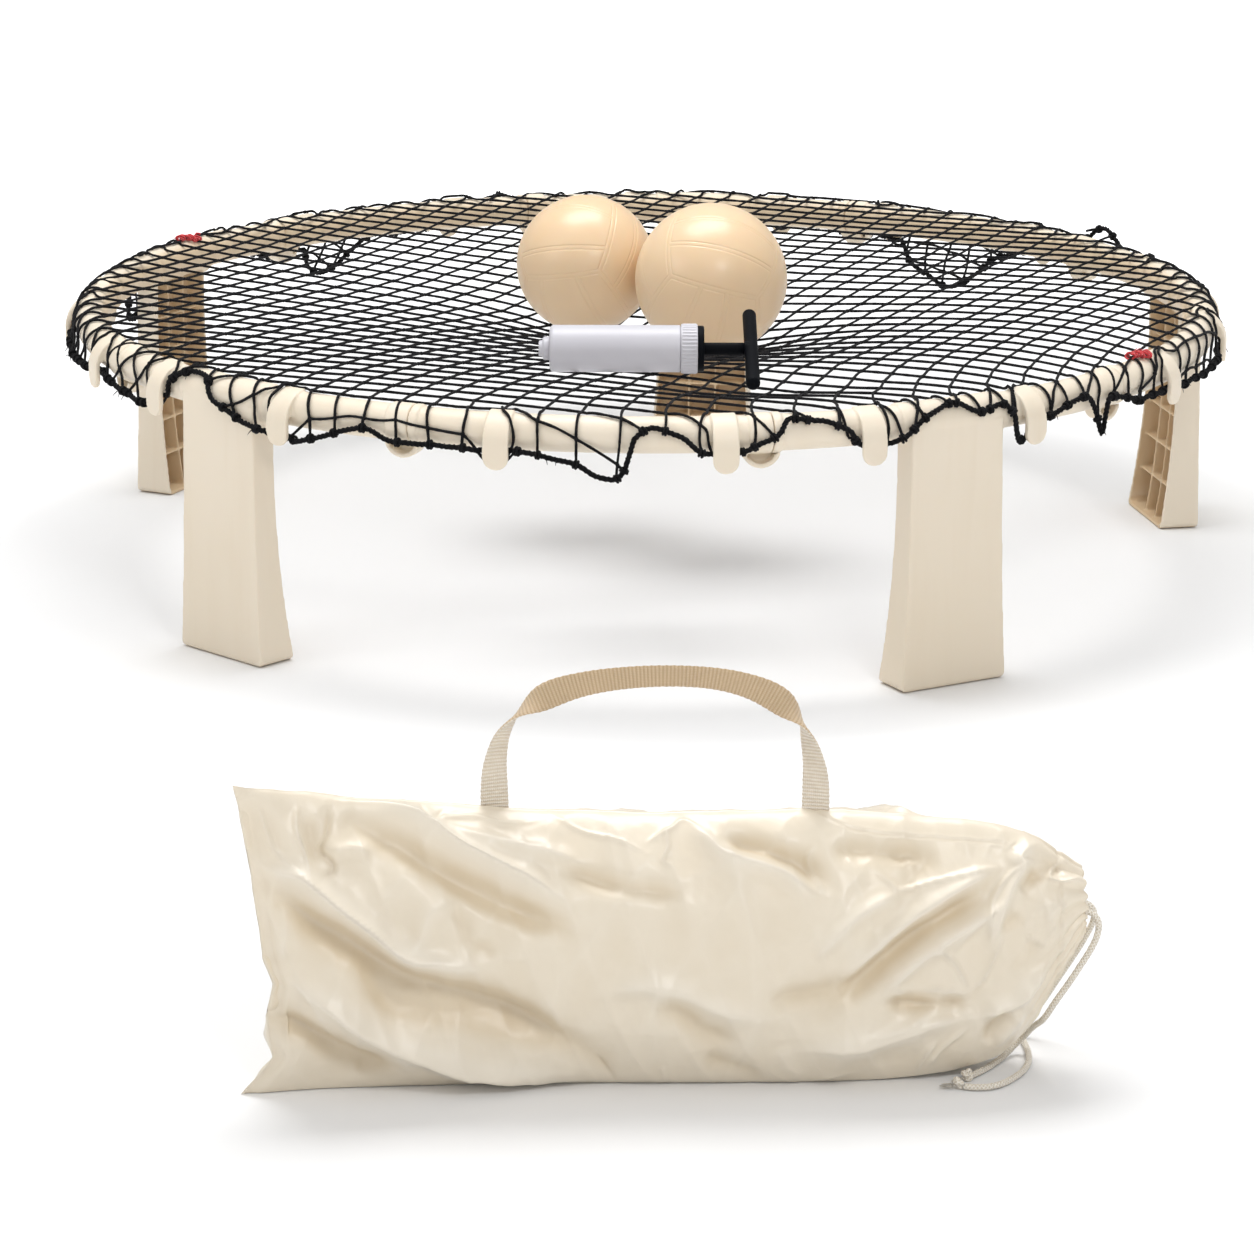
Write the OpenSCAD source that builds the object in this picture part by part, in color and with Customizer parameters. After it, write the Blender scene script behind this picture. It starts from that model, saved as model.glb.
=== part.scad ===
// Roundnet set: a sectional ring on five hollow legs with a knotted net,
// two inflatable balls, a hand pump and a drawstring carry bag.
// Millimetres. +Z is up, +X is to the right, the bag stands on the -Y side.
// Angles round the ring are counted from its -Y side towards +X.

/* [Ring] */
// Radius of the ring, to the middle of its tube
ring_r = 440; // [425:5:455]
// Outside diameter of the ring tube
tube_d = 26; // [24:1:28]
// Wall thickness of the ring tube
tube_wall = 2.2; // [1.6:0.2:3]
// Height of the middle of the tube above the ground
ring_h = 194; // [185:1:205]
// Turn of the five legs about the ring's middle, degrees
ring_turn = -7.2; // [-12:0.2:-2]

/* [Legs] */
// Width of a leg under the tube
leg_top_w = 77; // [70:1:84]
// Width of a leg at the ground
leg_foot_w = 88; // [80:1:96]
// Depth of a leg under the tube
leg_top_d = 20; // [16:1:24]
// Depth of a leg at the ground
leg_foot_d = 33; // [28:1:38]
// Wall thickness of the leg moulding
leg_wall = 2.4; // [1.8:0.2:3]
// Spacing of the cross ribs inside a leg
rib_step = 29; // [26:1:32]

/* [Net] */
// How strongly the left ball pulls the net down
net_pull_left = 9.8; // [9.7:0.1:10.5]
// How strongly the right ball pulls the net down
net_pull_right = 11.5; // [11.4:0.1:12.2]
// Thickness of the net layer
net_t = 1.6; // [1.2:0.2:2]
// Diameter of the border rope
rope_d = 3.6; // [3:0.2:4]

/* [Balls] */
// Radius of the left ball
ball_left_r = 55.4; // [53:0.1:55.6]
// Radius of the right ball
ball_right_r = 60; // [57:0.1:60.2]
// Wall thickness of both balls
ball_wall = 2; // [1.5:0.25:3]

/* [Pump] */
// Outside diameter of the pump barrel
barrel_d = 34.8; // [33:0.2:35]
// Length of the pump barrel
barrel_l = 99.2; // [95:0.2:101]
// Length of the T handle
handle_l = 114; // [104:1:118]
// Lean of the T handle from upright, degrees
handle_lean = 75; // [74:1:80]

/* [Bag] */
// Height of the bag along its top edge
bag_h = 147; // [140:1:150]
// Half of the bag's thickness in its middle
bag_half_t = 47; // [40:1:50]
// Width of the handle webbing
strap_w = 15; // [14:0.5:17]
// Thickness of the handle webbing
strap_t = 1.8; // [1.4:0.2:2.2]
// Diameter of the drawstring
string_d = 3.4; // [3:0.2:3.8]

/* [Hidden] */
$fn = 64;
ring_y = 350;            // the ring stands behind the middle of the set
bag_y = -752;            // middle of the bag's thickness
tube_r = tube_d / 2;
bore_r = tube_r - tube_wall;
LEG_AT = [-43.2, 28.8, 100.8, 172.8, -115.2];  // nominal leg angles
turn_fix = ring_turn + 7.2;
join_after = 21.3;       // a leg piece ends this far past its leg
join_before = -17.7;     // and starts this far before it
HOOKS = [-8.7, 8.2];     // hooks beside a leg
RIM_HOOKS = [29.8, 49.9]; // hooks on the rim piece that follows the leg
hook_w = 18.4;

cream = [0.92, 0.87, 0.79];
peach = [0.95, 0.82, 0.66];
dark = [0.06, 0.06, 0.07];
grey_white = [0.88, 0.87, 0.91];
satin = [0.90, 0.85, 0.75];

// ---------- helpers ----------

// puts a piece made at the ring's -Y side, about the ring's axis, in its place
module at_phi(phi) translate([0, ring_y, 0]) rotate([0, 0, phi]) children();

// turns a profile about the ring's axis, x = 0 in the profile is the tube's middle
module arc(a, b) translate([0, 0, ring_h]) rotate([0, 0, -90 + a])
    rotate_extrude(angle = b - a, $fn = 180) translate([ring_r, 0]) children();

function unit(v) = v / norm(v);

// a cord swept along its points; closed joins the last point to the first
module cord(pts, r, sides = 8, closed = false) {
    n = len(pts);
    dirs = [for (i = [0:n - 1]) unit(
        closed ? pts[(i + 1) % n] - pts[(i + n - 1) % n]
               : pts[min(i + 1, n - 1)] - pts[max(i - 1, 0)])];
    rings = [for (i = [0:n - 1])
        let (t = dirs[i],
             s = abs(t[2]) > 0.97 ? [0, 1, 0] : [0, 0, 1],
             u = unit(cross(t, s)), v = cross(u, t))
        [for (k = [0:sides - 1]) pts[i] + r * (cos(360 * k / sides) * u + sin(360 * k / sides) * v)]];
    last = closed ? n - 1 : n - 2;
    polyhedron(
        points = [for (q = rings) for (p = q) p],
        faces = concat(
            [for (i = [0:last]) for (k = [0:sides - 1])
                let (a = i * sides + k, b = i * sides + (k + 1) % sides,
                     c = ((i + 1) % n) * sides + k, d = ((i + 1) % n) * sides + (k + 1) % sides)
                each [[a, b, d], [a, d, c]]],
            closed ? [] : [[for (k = [sides - 1:-1:0]) k], [for (k = [0:sides - 1]) (n - 1) * sides + k]]));
}

// smooth points through hand-set points, m steps between each two
function spline(p, m, closed = false) =
    let (n = len(p), e = closed ? n : n - 1)
    concat([for (i = [0:e - 1]) for (j = [0:m - 1])
        let (t = j / m,
             a = closed ? p[(i + n - 1) % n] : p[max(i - 1, 0)],
             b = p[i],
             c = p[(i + 1) % n],
             d = closed ? p[(i + 2) % n] : p[min(i + 2, n - 1)])
        0.5 * (2 * b + (c - a) * t + (2 * a - 5 * b + 4 * c - d) * t * t
               + (3 * b - a - 3 * c + d) * t * t * t)],
        closed ? [] : [p[n - 1]]);

// ---------- ring ----------

// outline of a net hook, cut through the tube
module hook_profile() difference() {
    union() {
        intersection() {
            translate([-2, -8.5]) circle(r = 23.5);
            translate([-2, -8.5]) square([24, 24]);
        }
        translate([-2, -22]) square([23.5, 13.6]);
        translate([19.5, -22]) circle(r = 2);
    }
    translate([-10, -40]) square([27.5, 34.5]);
    translate([14.5, -5.5]) circle(r = 3);
}

module hook(phi) {
    half = atan(hook_w / 2 / (ring_r + 18));
    rotate([0, 0, phi]) intersection() {
        arc(-half, half) hook_profile();
        union() {
            translate([-12, -ring_r - 30, ring_h - 14.8]) cube([24, 40, 40]);
            translate([0, -ring_r - 30, ring_h - 14.8]) rotate([-90, 0, 0]) cylinder(r = hook_w / 2, h = 40);
        }
    }
}

// half-moon lug under the end of a ring piece
module lug(phi) rotate([0, 0, phi]) translate([0, -ring_r, ring_h - 10]) difference() {
    rotate([90, 0, 0]) cylinder(r = 14, h = 14, center = true);
    translate([-20, -20, 0.2]) cube([40, 40, 20]);
    translate([0, -3, 0]) rotate([90, 0, 0]) cylinder(r = 10.6, h = 10, center = true);
    translate([-8.5, 0, -5]) rotate([90, 0, 0]) cylinder(r = 2, h = 30, center = true);
}

// one length of ring from a to b: a raised bead and open bore at a, a wide band and a plug at b
module ring_piece(a, b) {
    difference() {
        union() {
            arc(a + 0.03, b - 0.03) circle(r = tube_r);
            arc(a + 0.03, a + 0.83) circle(r = tube_r + 1.5);
            arc(b - 2.2, b - 0.03) circle(r = tube_r + 1.5);
            difference() { lug(b - 0.95); arc(b - 0.03, b + 3) circle(r = tube_r + 1.8); }
            children();
        }
        arc(a - 0.5, b - 3.6) circle(r = bore_r);
    }
    // plug that enters the next piece
    difference() {
        arc(b - 0.1, b + 3.2) circle(r = bore_r - 0.15);
        arc(b - 0.5, b + 4) circle(r = bore_r - 2.2);
    }
}

// ---------- legs ----------

function leg_half(z) = leg_top_w / 2 + (leg_foot_w - leg_top_w) / 2 * pow(max(0, 1 - z / leg_h), 2.2);
function leg_depth(z) = leg_top_d + (leg_foot_d - leg_top_d) * pow(max(0, 1 - z / 150), 2);
leg_face = ring_r + 14;
leg_h = ring_h - 1.7;

LEG_Z = [for (i = [1:9]) i * leg_h / 9];

module leg_front(inset = 0, foot = 0) {
    c = 5;
    right = concat(
        [for (a = [-90:15:0]) [leg_half(0) - inset - c + c * cos(a), foot + c + c * sin(a)]],
        [for (z = LEG_Z) [leg_half(z) - inset, z]]);
    polygon(concat(right, [for (i = [len(right) - 1:-1:0]) [-right[i][0], right[i][1]]]));
}

module leg_side(extra = 0) {
    c = 3;
    inner = [for (z = concat([0], LEG_Z)) [-(leg_face + 3 * (1 - z / leg_h)) + leg_depth(z) + extra, z]];
    polygon(concat(
        [for (i = [len(inner) - 1:-1:0]) inner[i]],
        [for (a = [270:-15:180]) [-(leg_face + 3) + c + c * cos(a), c + c * sin(a)]],
        [[-leg_face, leg_h]]));
}

module leg_solid() intersection() {
    rotate([90, 0, 0]) linear_extrude(height = ring_r + 60) leg_front();
    rotate([90, 0, 90]) linear_extrude(height = 120, center = true) leg_side();
}

module leg_hollow() intersection() {
    rotate([90, 0, 0]) linear_extrude(height = ring_r + 60) leg_front(leg_wall, 2.6);
    rotate([90, 0, 90]) linear_extrude(height = 120, center = true)
        translate([leg_wall, 0]) leg_side(40);
}

// upright and cross ribs inside the leg, set back from its open side
module leg_ribs() intersection() {
    rotate([90, 0, 0]) linear_extrude(height = ring_r + 60) leg_front(leg_wall / 2);
    rotate([90, 0, 90]) linear_extrude(height = 120, center = true) intersection() {
        translate([-5, 0]) leg_side();
        translate([leg_wall / 2, 0]) leg_side(40);
    }
    union() {
        for (x = [-12, 12]) translate([x - 0.8, -leg_face - 5, 1]) cube([1.6, 60, ring_h - 8]);
        for (i = [1:5]) translate([-50, -leg_face - 5, 3 + i * rib_step]) cube([100, 60, 1.6]);
    }
}

module leg(i) color(cream) at_phi(LEG_AT[i] + turn_fix)
    ring_piece(join_before, join_after) {
        for (h = HOOKS) hook(h);
        arc(-5.6, 5.6) circle(r = tube_r + 1.6);
        difference() { leg_solid(); leg_hollow(); }
        leg_ribs();
    }

module rim(i) color(cream) at_phi(LEG_AT[i] + turn_fix)
    ring_piece(join_after, 72 + join_before)
        for (h = RIM_HOOKS) hook(h);

module leg_front_left() leg(0);
module leg_front_right() leg(1);
module leg_right() leg(2);
module leg_back() leg(3);
module leg_left() leg(4);
module rim_front() rim(0);
module rim_front_right() rim(1);
module rim_back_right() rim(2);
module rim_back_left() rim(3);
module rim_front_left() rim(4);

// ---------- net ----------

net_in = 434;                        // radius where the net meets the ring
net_rim = ring_h + tube_r + 3.5;     // height of its upper side there

// sag of a stretched sheet under one load at p, 0 at the rim; a rounds its bottom
function sag(x, y, p, a = 28) =
    let (s2 = p[0] * p[0] + p[1] * p[1], q = p * (net_in * net_in / s2))
    0.5 * ln((s2 / (net_in * net_in) * (pow(x - q[0], 2) + pow(y - q[1], 2)) + a * a)
             / (pow(x - p[0], 2) + pow(y - p[1], 2) + a * a));

// height of the net's upper side at x, y from the ring's middle, with the
// shallow dent that the pump's handle makes along its travel
function net_z(x, y) = net_rim - 4 * (1 - pow(norm([x, y]) / net_in, 4))
    - net_pull_left * sag(x, y, [ball_left_at[0], ball_left_at[1] - ring_y])
    - net_pull_right * sag(x, y, [ball_right_at[0], ball_right_at[1] - ring_y])
    - 6.5 * exp(-pow((x - 100) / 100, 2) - pow((y + 304) / 50, 2));

NET_R = [12, 24, 36, 48, 60, 72, 84, 98, 115, 138, 166, 200, 235, 265, 295, 325, 360, 398, 435];
net_n = 60;

// the net's dish: points on rings of radius NET_R, upper side then lower side
module net_dish() {
    m = len(NET_R);
    top = concat([[0, 0, net_z(0, 0)]],
        [for (r = NET_R) for (k = [0:net_n - 1])
            let (x = r * cos(360 * k / net_n), y = r * sin(360 * k / net_n)) [x, y, net_z(x, y)]]);
    o = len(top);
    function id(i, k) = 1 + i * net_n + k % net_n;
    polyhedron(
        points = concat(top, [for (p = top) p - [0, 0, net_t]]),
        faces = concat(
            [for (k = [0:net_n - 1]) each [[0, id(0, k + 1), id(0, k)], [o, o + id(0, k), o + id(0, k + 1)]]],
            [for (i = [0:m - 2]) for (k = [0:net_n - 1])
                let (a = id(i, k), b = id(i, k + 1), c = id(i + 1, k), d = id(i + 1, k + 1))
                each [[a, b, d], [a, d, c], [o + a, o + d, o + b], [o + a, o + c, o + d]]],
            [for (k = [0:net_n - 1])
                let (c = id(m - 1, k), d = id(m - 1, k + 1))
                each [[c, d, o + d], [c, o + d, o + c]]]));
}

all_hooks = [for (i = [0:4]) for (h = concat(HOOKS, RIM_HOOKS)) LEG_AT[i] + turn_fix + h];

// the net as one thin layer: a sagging dish, over the tube and a little way down outside
module net() color(dark) {
    translate([0, ring_y, 0]) net_dish();
    difference() {
        translate([0, ring_y, 0]) rotate_extrude($fn = 180) intersection() {
            translate([ring_r, ring_h]) difference() {
                circle(r = tube_r + 3.4);
                circle(r = tube_r + 2);
            }
            union() {
                translate([net_in - 0.2, ring_h]) square([40, 40]);
                translate([ring_r, ring_h + 1]) square([40, 40]);
            }
        }
        for (h = all_hooks) at_phi(h)
            translate([-hook_w / 2 - 0.6, -ring_r - 40, ring_h - 20]) cube([hook_w + 1.2, 41, 60]);
    }
}

// Height of the border rope between the hooks, five stations in each of the
// twenty gaps, above the height at which it sits behind a hook.
ROPE_Z = [
    [3, 8, 8, 2, 0], [4, 8, 4, 1, 0], [3, 6, 8, 5, 0], [0, -2, -14, -12, 8],      // leg front left, rim front
    [6, 12, 22, 18, 8], [6, 20, 16, 18, 8], [4, 12, 4, -10, -6], [-4, 8, 12, 6, 0], // leg front right
    [2, 4, 0, -4, 0], [2, 4, 6, 2, 0], [0, 6, 14, 20, 8], [0, -8, -20, -26, -10],
    [-10, -20, -30, -20, -6], [2, 8, 4, 0, 0], [0, 4, 8, 4, 0], [4, 14, 20, 10, 2],
    [-4, -12, -16, -8, 0], [-10, -22, -32, -24, -8], [0, 10, 14, 6, 0], [0, -6, -10, -20, -6]
];
rope_seat = ring_h - 9;
function rope_at(phi, r, z) = [r * sin(phi), ring_y - r * cos(phi), z];
hook_ring = [for (i = [0:4]) for (h = [HOOKS[0], HOOKS[1], RIM_HOOKS[0], RIM_HOOKS[1]])
    LEG_AT[i] + turn_fix + h];
function next_hook(k) = let (b = hook_ring[(k + 1) % 20]) b < hook_ring[k] ? b + 360 : b;
rope_pts = [for (k = [0:19])
    let (a = hook_ring[k], b = next_hook(k), e = 1.5)
    each concat(
        [rope_at(a - e, ring_r + 14.9, rope_seat), rope_at(a + e, ring_r + 14.9, rope_seat)],
        [for (j = [0:4])
            let (f = [0.2, 0.35, 0.5, 0.65, 0.8][j])
            rope_at(a + e + (b - a - 2 * e) * f, ring_r + 19.6, rope_seat + ROPE_Z[k][j])])];

module net_border_rope() color(dark) cord(rope_pts, rope_d / 2, 8, true);

// red yarn ties that mark two places on the net's edge: they lie over the tube's
// upper side, from its inner face to its outer one, clear of the leg below
module net_marker_ties() color([0.75, 0.08, 0.08])
    for (t = [-117.4, 55.6]) at_phi(t + turn_fix) translate([0, -ring_r, ring_h])
        for (x = [-5, 0, 5]) translate([x, 0, 0]) rotate([0, 90, 0]) rotate([0, 0, 90])
            rotate_extrude(angle = 180) translate([tube_r + 6.2, 0]) circle(r = 0.9, $fn = 16);

// ---------- balls ----------

ball_left_at = [-48.5, ring_y + 24, 223.6];
ball_right_at = [51.2, ring_y - 44, 224.9];
VALVE_LEAN = 52;   // the valve looks up and away from the bag
VALVE_TURN = [160, 200];

module ball(at, r, turn) translate(at) difference() {
    sphere(r = r, $fn = 96);
    sphere(r = r - ball_wall, $fn = 96);
    rotate([VALVE_LEAN, 0, turn]) cylinder(r = 4, h = r + 2);
}

module valve(at, r, turn) translate(at) rotate([VALVE_LEAN, 0, turn]) difference() {
    union() {
        translate([0, 0, r - ball_wall - 5]) cylinder(r = 3.9, h = ball_wall + 5);
        translate([0, 0, r - ball_wall - 5]) cylinder(r = 5.5, h = 3.6);
    }
    translate([0, 0, r - ball_wall - 6]) cylinder(r = 0.7, h = 20);
}

module ball_left() color(peach) ball(ball_left_at, ball_left_r, VALVE_TURN[0]);
module ball_right() color(peach) ball(ball_right_at, ball_right_r, VALVE_TURN[1]);
module ball_left_valve() color(peach) valve(ball_left_at, ball_left_r, VALVE_TURN[0]);
module ball_right_valve() color(peach) valve(ball_right_at, ball_right_r, VALVE_TURN[1]);

// ---------- pump ----------

barrel_r = barrel_d / 2;
barrel_bore = barrel_r - 2.4;
pump_at = [-72.3, ring_y - 253.8, 214.6];
collar_l = 10;
gland_l = 4.8;
rod_r = 5;
needle_r = 3.9;        // socket for the inflating needle
rod_out = 29.5;
piston_x = 35;         // left face of the piston, from the left end of the barrel

module along_x() translate(pump_at) rotate([0, 90, 0]) children();

module pump_barrel() color(grey_white) along_x() difference() {
    rotate_extrude() difference() {
        union() {
            translate([0, 3]) square([barrel_r, barrel_l - 5.6]);
            square([barrel_r - 3, 10]);
            translate([barrel_r - 3, 3]) circle(r = 3);
            square([barrel_r - 1.4, barrel_l]);
            translate([-5, 0]) square([5, 1]);
        }
        translate([-10, -1]) square([10, barrel_l + 5]);
        translate([0, 3.4]) square([barrel_bore, barrel_l]);
        // rounding of the left end
        translate([barrel_r - 3, 0]) difference() { translate([0, -1]) square([4, 4]); translate([0, 3]) circle(r = 3); }
    }
    translate([0, 0, -1]) cylinder(r = 5.2, h = 10);
}

// stepped nozzle with the needle's hole
module pump_nozzle() color(grey_white) along_x() difference() {
    union() {
        translate([0, 0, -1]) cylinder(r = 5.1, h = 6);
        translate([0, 0, 3.5]) cylinder(r = 8, h = 2.4);
        translate([0, 0, -4.6]) cylinder(r = 8.6, h = 4.5);
        translate([0, 0, -8]) cylinder(r = 6, h = 4);
    }
    translate([0, 0, -9]) cylinder(r = needle_r, h = 8);
    translate([0, 0, -9]) cylinder(r = 0.9, h = 20);
}

// ribbed ring that holds the gland
module pump_collar() color(grey_white) along_x() translate([0, 0, barrel_l]) difference() {
    union() {
        translate([0, 0, -2.2]) cylinder(r = barrel_r + 0.7, h = collar_l + 2.2);
        for (i = [0:35]) rotate([0, 0, i * 10]) translate([barrel_r + 0.4, -0.55, -1.4]) cube([0.9, 1.1, collar_l + 0.6]);
    }
    translate([0, 0, -8]) cylinder(r = barrel_r - 1.3, h = 8.1);
    translate([0, 0, -1]) cylinder(r = 12, h = 20);
}

module pump_gland() color(dark) along_x() translate([0, 0, barrel_l]) difference() {
    union() {
        translate([0, 0, collar_l]) cylinder(r = barrel_r - 0.4, h = gland_l);
        translate([0, 0, -1]) cylinder(r = 11.9, h = collar_l + 1.5);
        translate([0, 0, -3]) cylinder(r = barrel_bore - 0.1, h = 2.9);
    }
    translate([0, 0, -5]) cylinder(r = rod_r + 0.35, h = 30);
}

rod_end = barrel_l + collar_l + gland_l + rod_out;
module pump_rod() color(dark) along_x() intersection() {
    translate([0, 0, piston_x + 8]) cylinder(r = rod_r, h = rod_end - piston_x - 8);
    translate([-4.2, -6, 0]) cube([8.4, 12, 200]);
}

module pump_piston() color(dark) along_x() translate([0, 0, piston_x]) difference() {
    cylinder(r = barrel_bore - 0.35, h = 8);
    translate([0, 0, 2.6]) difference() {
        cylinder(r = barrel_bore + 1, h = 2.8);
        translate([0, 0, -1]) cylinder(r = barrel_bore - 2.6, h = 5);
    }
}

module pump_piston_seal() color([0.2, 0.2, 0.2]) along_x() translate([0, 0, piston_x + 4])
    rotate_extrude() translate([barrel_bore - 1.32, 0]) circle(r = 1.27, $fn = 24);

handle_r = 5.3;

// T handle: the bar leans, its lower end rests on the net
module pump_handle() color(dark) along_x() translate([0, 0, rod_end]) rotate([0, 0, 90]) rotate([0, 0, 90 - handle_lean]) {
    difference() {
        union() {
            translate([-(handle_l / 2 - handle_r), 0, handle_r]) rotate([0, 90, 0]) cylinder(r = handle_r, h = handle_l - 2 * handle_r);
            translate([-(handle_l / 2 - handle_r), 0, handle_r]) sphere(r = handle_r);
            translate([handle_l / 2 - handle_r, 0, handle_r]) sphere(r = handle_r);
            cylinder(r = handle_r + 0.4, h = handle_r);
        }
        translate([-20, -20, -10]) cube([40, 40, 10]);
    }
}

// ---------- bag ----------

// stations along the bag: [x, top height, half thickness, bottom height, shift of the middle in y];
// the flat sewn end on the left stands forward, in line with the bag's front
BAG = [
    [-222, 174, 4, 0, -44], [-214, 171, 9, 0, -39], [-200, 167, 17, 0, -31], [-180, 163, 26, 0, -22],
    [-155, 156, 35, 0, -14], [-120, 153, 42, 0, -7], [-80, 148, 46, 0, -2], [-40, 146, 47, 0, 0],
    [0, 145, 47, 0, 0], [40, 146, 46, 0, 0], [80, 147, 44, 0, 0], [115, 146, 40, 0, 0],
    [145, 143, 36, 2, 0], [170, 141, 31, 6, 0], [190, 137, 27, 14, 0], [205, 132, 24, 30, 0],
    [216, 126, 21, 50, 0], [224, 120, 18, 68, 0], [231, 114, 14, 80, 0]
];
bag_scale = bag_h / 147;
function bag_pt(s, a) =
    let (zt = s[1] * bag_scale, zb = s[3],
         zm = zb + (zt - zb) * 0.40,
         up = sin(a) >= 0,
         z = up ? zm + (zt - zm) * sin(a) : max(zb, zm + (zm - zb) * 1.12 * sin(a)),
         f = up ? pow(abs(cos(a)), 1.25) : pow(abs(cos(a)), 0.55))
    [s[0], bag_y + s[4] + s[2] * bag_half_t / 47 * f * (cos(a) < 0 ? -1 : 1), z];
bag_n = 24;
module bag_body() color(satin) {
    m = len(BAG);
    polyhedron(
        points = [for (s = BAG) for (k = [0:bag_n - 1]) bag_pt(s, 360 * k / bag_n + 7.5)],
        faces = concat(
            [for (i = [0:m - 2]) for (k = [0:bag_n - 1])
                let (a = i * bag_n + k, b = i * bag_n + (k + 1) % bag_n, c = a + bag_n, d = b + bag_n)
                each [[a, b, d], [a, d, c]]],
            [[for (k = [bag_n - 1:-1:0]) k], [for (k = [0:bag_n - 1]) (m - 1) * bag_n + k]]));
}

// middle line of the carry strap: [x, height, turn of the band about the line]
STRAP = [
    [-86, 142, 0], [-85, 171, 3], [-83, 184, 12], [-78, 194, 45], [-71, 202, 85], [-60, 208, 125],
    [-46, 213, 150], [-28, 217, 158], [-6, 219, 160], [18, 219, 160], [38, 217, 158], [55, 212, 150],
    [68, 205, 125], [77, 197, 85], [82, 187, 45], [85, 172, 10], [86, 142, 0]
];
module bag_handle_strap() color(satin) {
    s3 = spline(STRAP, 3);
    n = len(s3);
    path = [for (q = s3) [q[0], bag_y, q[1]]];
    rings = [for (i = [0:n - 1])
        let (t = unit(path[min(i + 1, n - 1)] - path[max(i - 1, 0)]),
             side = [-t[2], 0, t[0]],
             w = cos(s3[i][2]) * side + sin(s3[i][2]) * [0, -1, 0],
             nn = cross(t, w))
        [for (c = [[-1, -1], [1, -1], [1, 1], [-1, 1]])
            path[i] + c[0] * strap_w / 2 * w + c[1] * strap_t / 2 * nn]];
    polyhedron(
        points = [for (q = rings) for (p = q) p],
        faces = concat(
            [for (i = [0:n - 2]) for (k = [0:3])
                let (a = i * 4 + k, b = i * 4 + (k + 1) % 4, c = a + 4, d = b + 4)
                each [[a, b, d], [a, d, c]]],
            [[3, 2, 1, 0], [for (k = [0:3]) (n - 1) * 4 + k]]));
}

// two sewn eyelets at the gathered mouth
EYES = [[232, bag_y - 7, 92], [232, bag_y + 7, 92]];
module bag_eyelets() color(satin) for (e = EYES) translate(e) rotate([0, 90, 0])
    rotate_extrude() translate([3.9, 0]) circle(r = 1, $fn = 16);

// drawstring, front end: out of its eyelet, down beside the bag and along the ground
STRING_A = [
    [231.2, bag_y - 7, 92], [236, bag_y - 7, 91.6], [240, bag_y - 8, 86], [238, bag_y - 10, 76],
    [231, bag_y - 12, 64], [224, bag_y - 12, 52], [217, bag_y - 10, 40], [212, bag_y - 6, 29],
    [208, -742, 18], [204, -735, 9.5], [199, -736, 5], [193, -744, 2.2], [187, -754, 1.9],
    [180, -764, 1.9], [172, -773, 1.9]
];
// back end: down behind the bag, forward past its end and round a loop on the ground
STRING_B = [
    [231.2, bag_y + 7, 92], [236, bag_y + 7, 91.6], [240, bag_y + 9, 85], [238, bag_y + 15, 74],
    [232, bag_y + 22, 58], [224, -722, 40], [217, -715, 24], [210, -711, 11], [205, -711, 4],
    [204, -716, 1.9], [205, -724, 1.9], [206, -734, 1.9], [206, -744, 1.9], [205, -754, 1.9], [201, -766, 1.9],
    [194, -777, 1.9], [186, -786, 1.9], [176, -790, 1.9], [167, -788, 1.9]
];
module bag_drawstring_front() color(satin) cord(spline(STRING_A, 2), string_d / 2);
module bag_drawstring_back() color(satin) cord(spline(STRING_B, 2), string_d / 2);
module bag_drawstring_knots() color(satin) {
    translate([169.6, -775.4, 3.6]) sphere(r = 3.6, $fn = 24);
    translate([163.9, -786.8, 3.6]) sphere(r = 3.6, $fn = 24);
}

leg_front_left();
leg_front_right();
leg_right();
leg_back();
leg_left();
rim_front();
rim_front_right();
rim_back_right();
rim_back_left();
rim_front_left();
net();
net_border_rope();
net_marker_ties();
ball_left();
ball_left_valve();
ball_right();
ball_right_valve();
pump_barrel();
pump_nozzle();
pump_collar();
pump_gland();
pump_rod();
pump_piston();
pump_piston_seal();
pump_handle();
bag_body();
bag_handle_strap();
bag_eyelets();
bag_drawstring_front();
bag_drawstring_back();
bag_drawstring_knots();
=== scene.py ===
"""Looks of the roundnet set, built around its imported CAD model. Metres, row frame."""
import math

import bmesh
import bpy
import numpy as np
from mathutils import Matrix, Vector


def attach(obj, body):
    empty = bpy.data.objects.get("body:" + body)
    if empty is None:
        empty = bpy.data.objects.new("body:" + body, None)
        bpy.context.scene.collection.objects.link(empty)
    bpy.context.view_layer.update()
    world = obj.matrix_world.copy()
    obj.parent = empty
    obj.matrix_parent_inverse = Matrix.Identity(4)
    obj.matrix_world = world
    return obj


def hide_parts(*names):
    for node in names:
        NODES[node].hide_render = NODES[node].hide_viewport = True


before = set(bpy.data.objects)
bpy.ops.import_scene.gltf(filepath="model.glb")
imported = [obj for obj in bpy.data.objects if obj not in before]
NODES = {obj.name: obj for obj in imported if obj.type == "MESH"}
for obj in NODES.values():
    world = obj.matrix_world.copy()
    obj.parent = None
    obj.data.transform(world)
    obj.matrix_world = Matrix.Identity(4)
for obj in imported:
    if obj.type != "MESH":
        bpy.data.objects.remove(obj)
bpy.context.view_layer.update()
scene = bpy.context.scene
scene.view_settings.view_transform = "Standard"
scene.view_settings.look = "None"
MM = 0.001
RING_Y = 350.0      # ring's middle, mm
RING_R = 440.0
RING_H = 194.0
TUBE = 13.0
LEG_AT = [-43.2, 28.8, 100.8, 172.8, -115.2]
HOOK_AT = sorted(a + h for a in LEG_AT for h in (-8.7, 8.2, 29.8, 49.9))

# ---------------------------------------------------------------- camera

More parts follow.
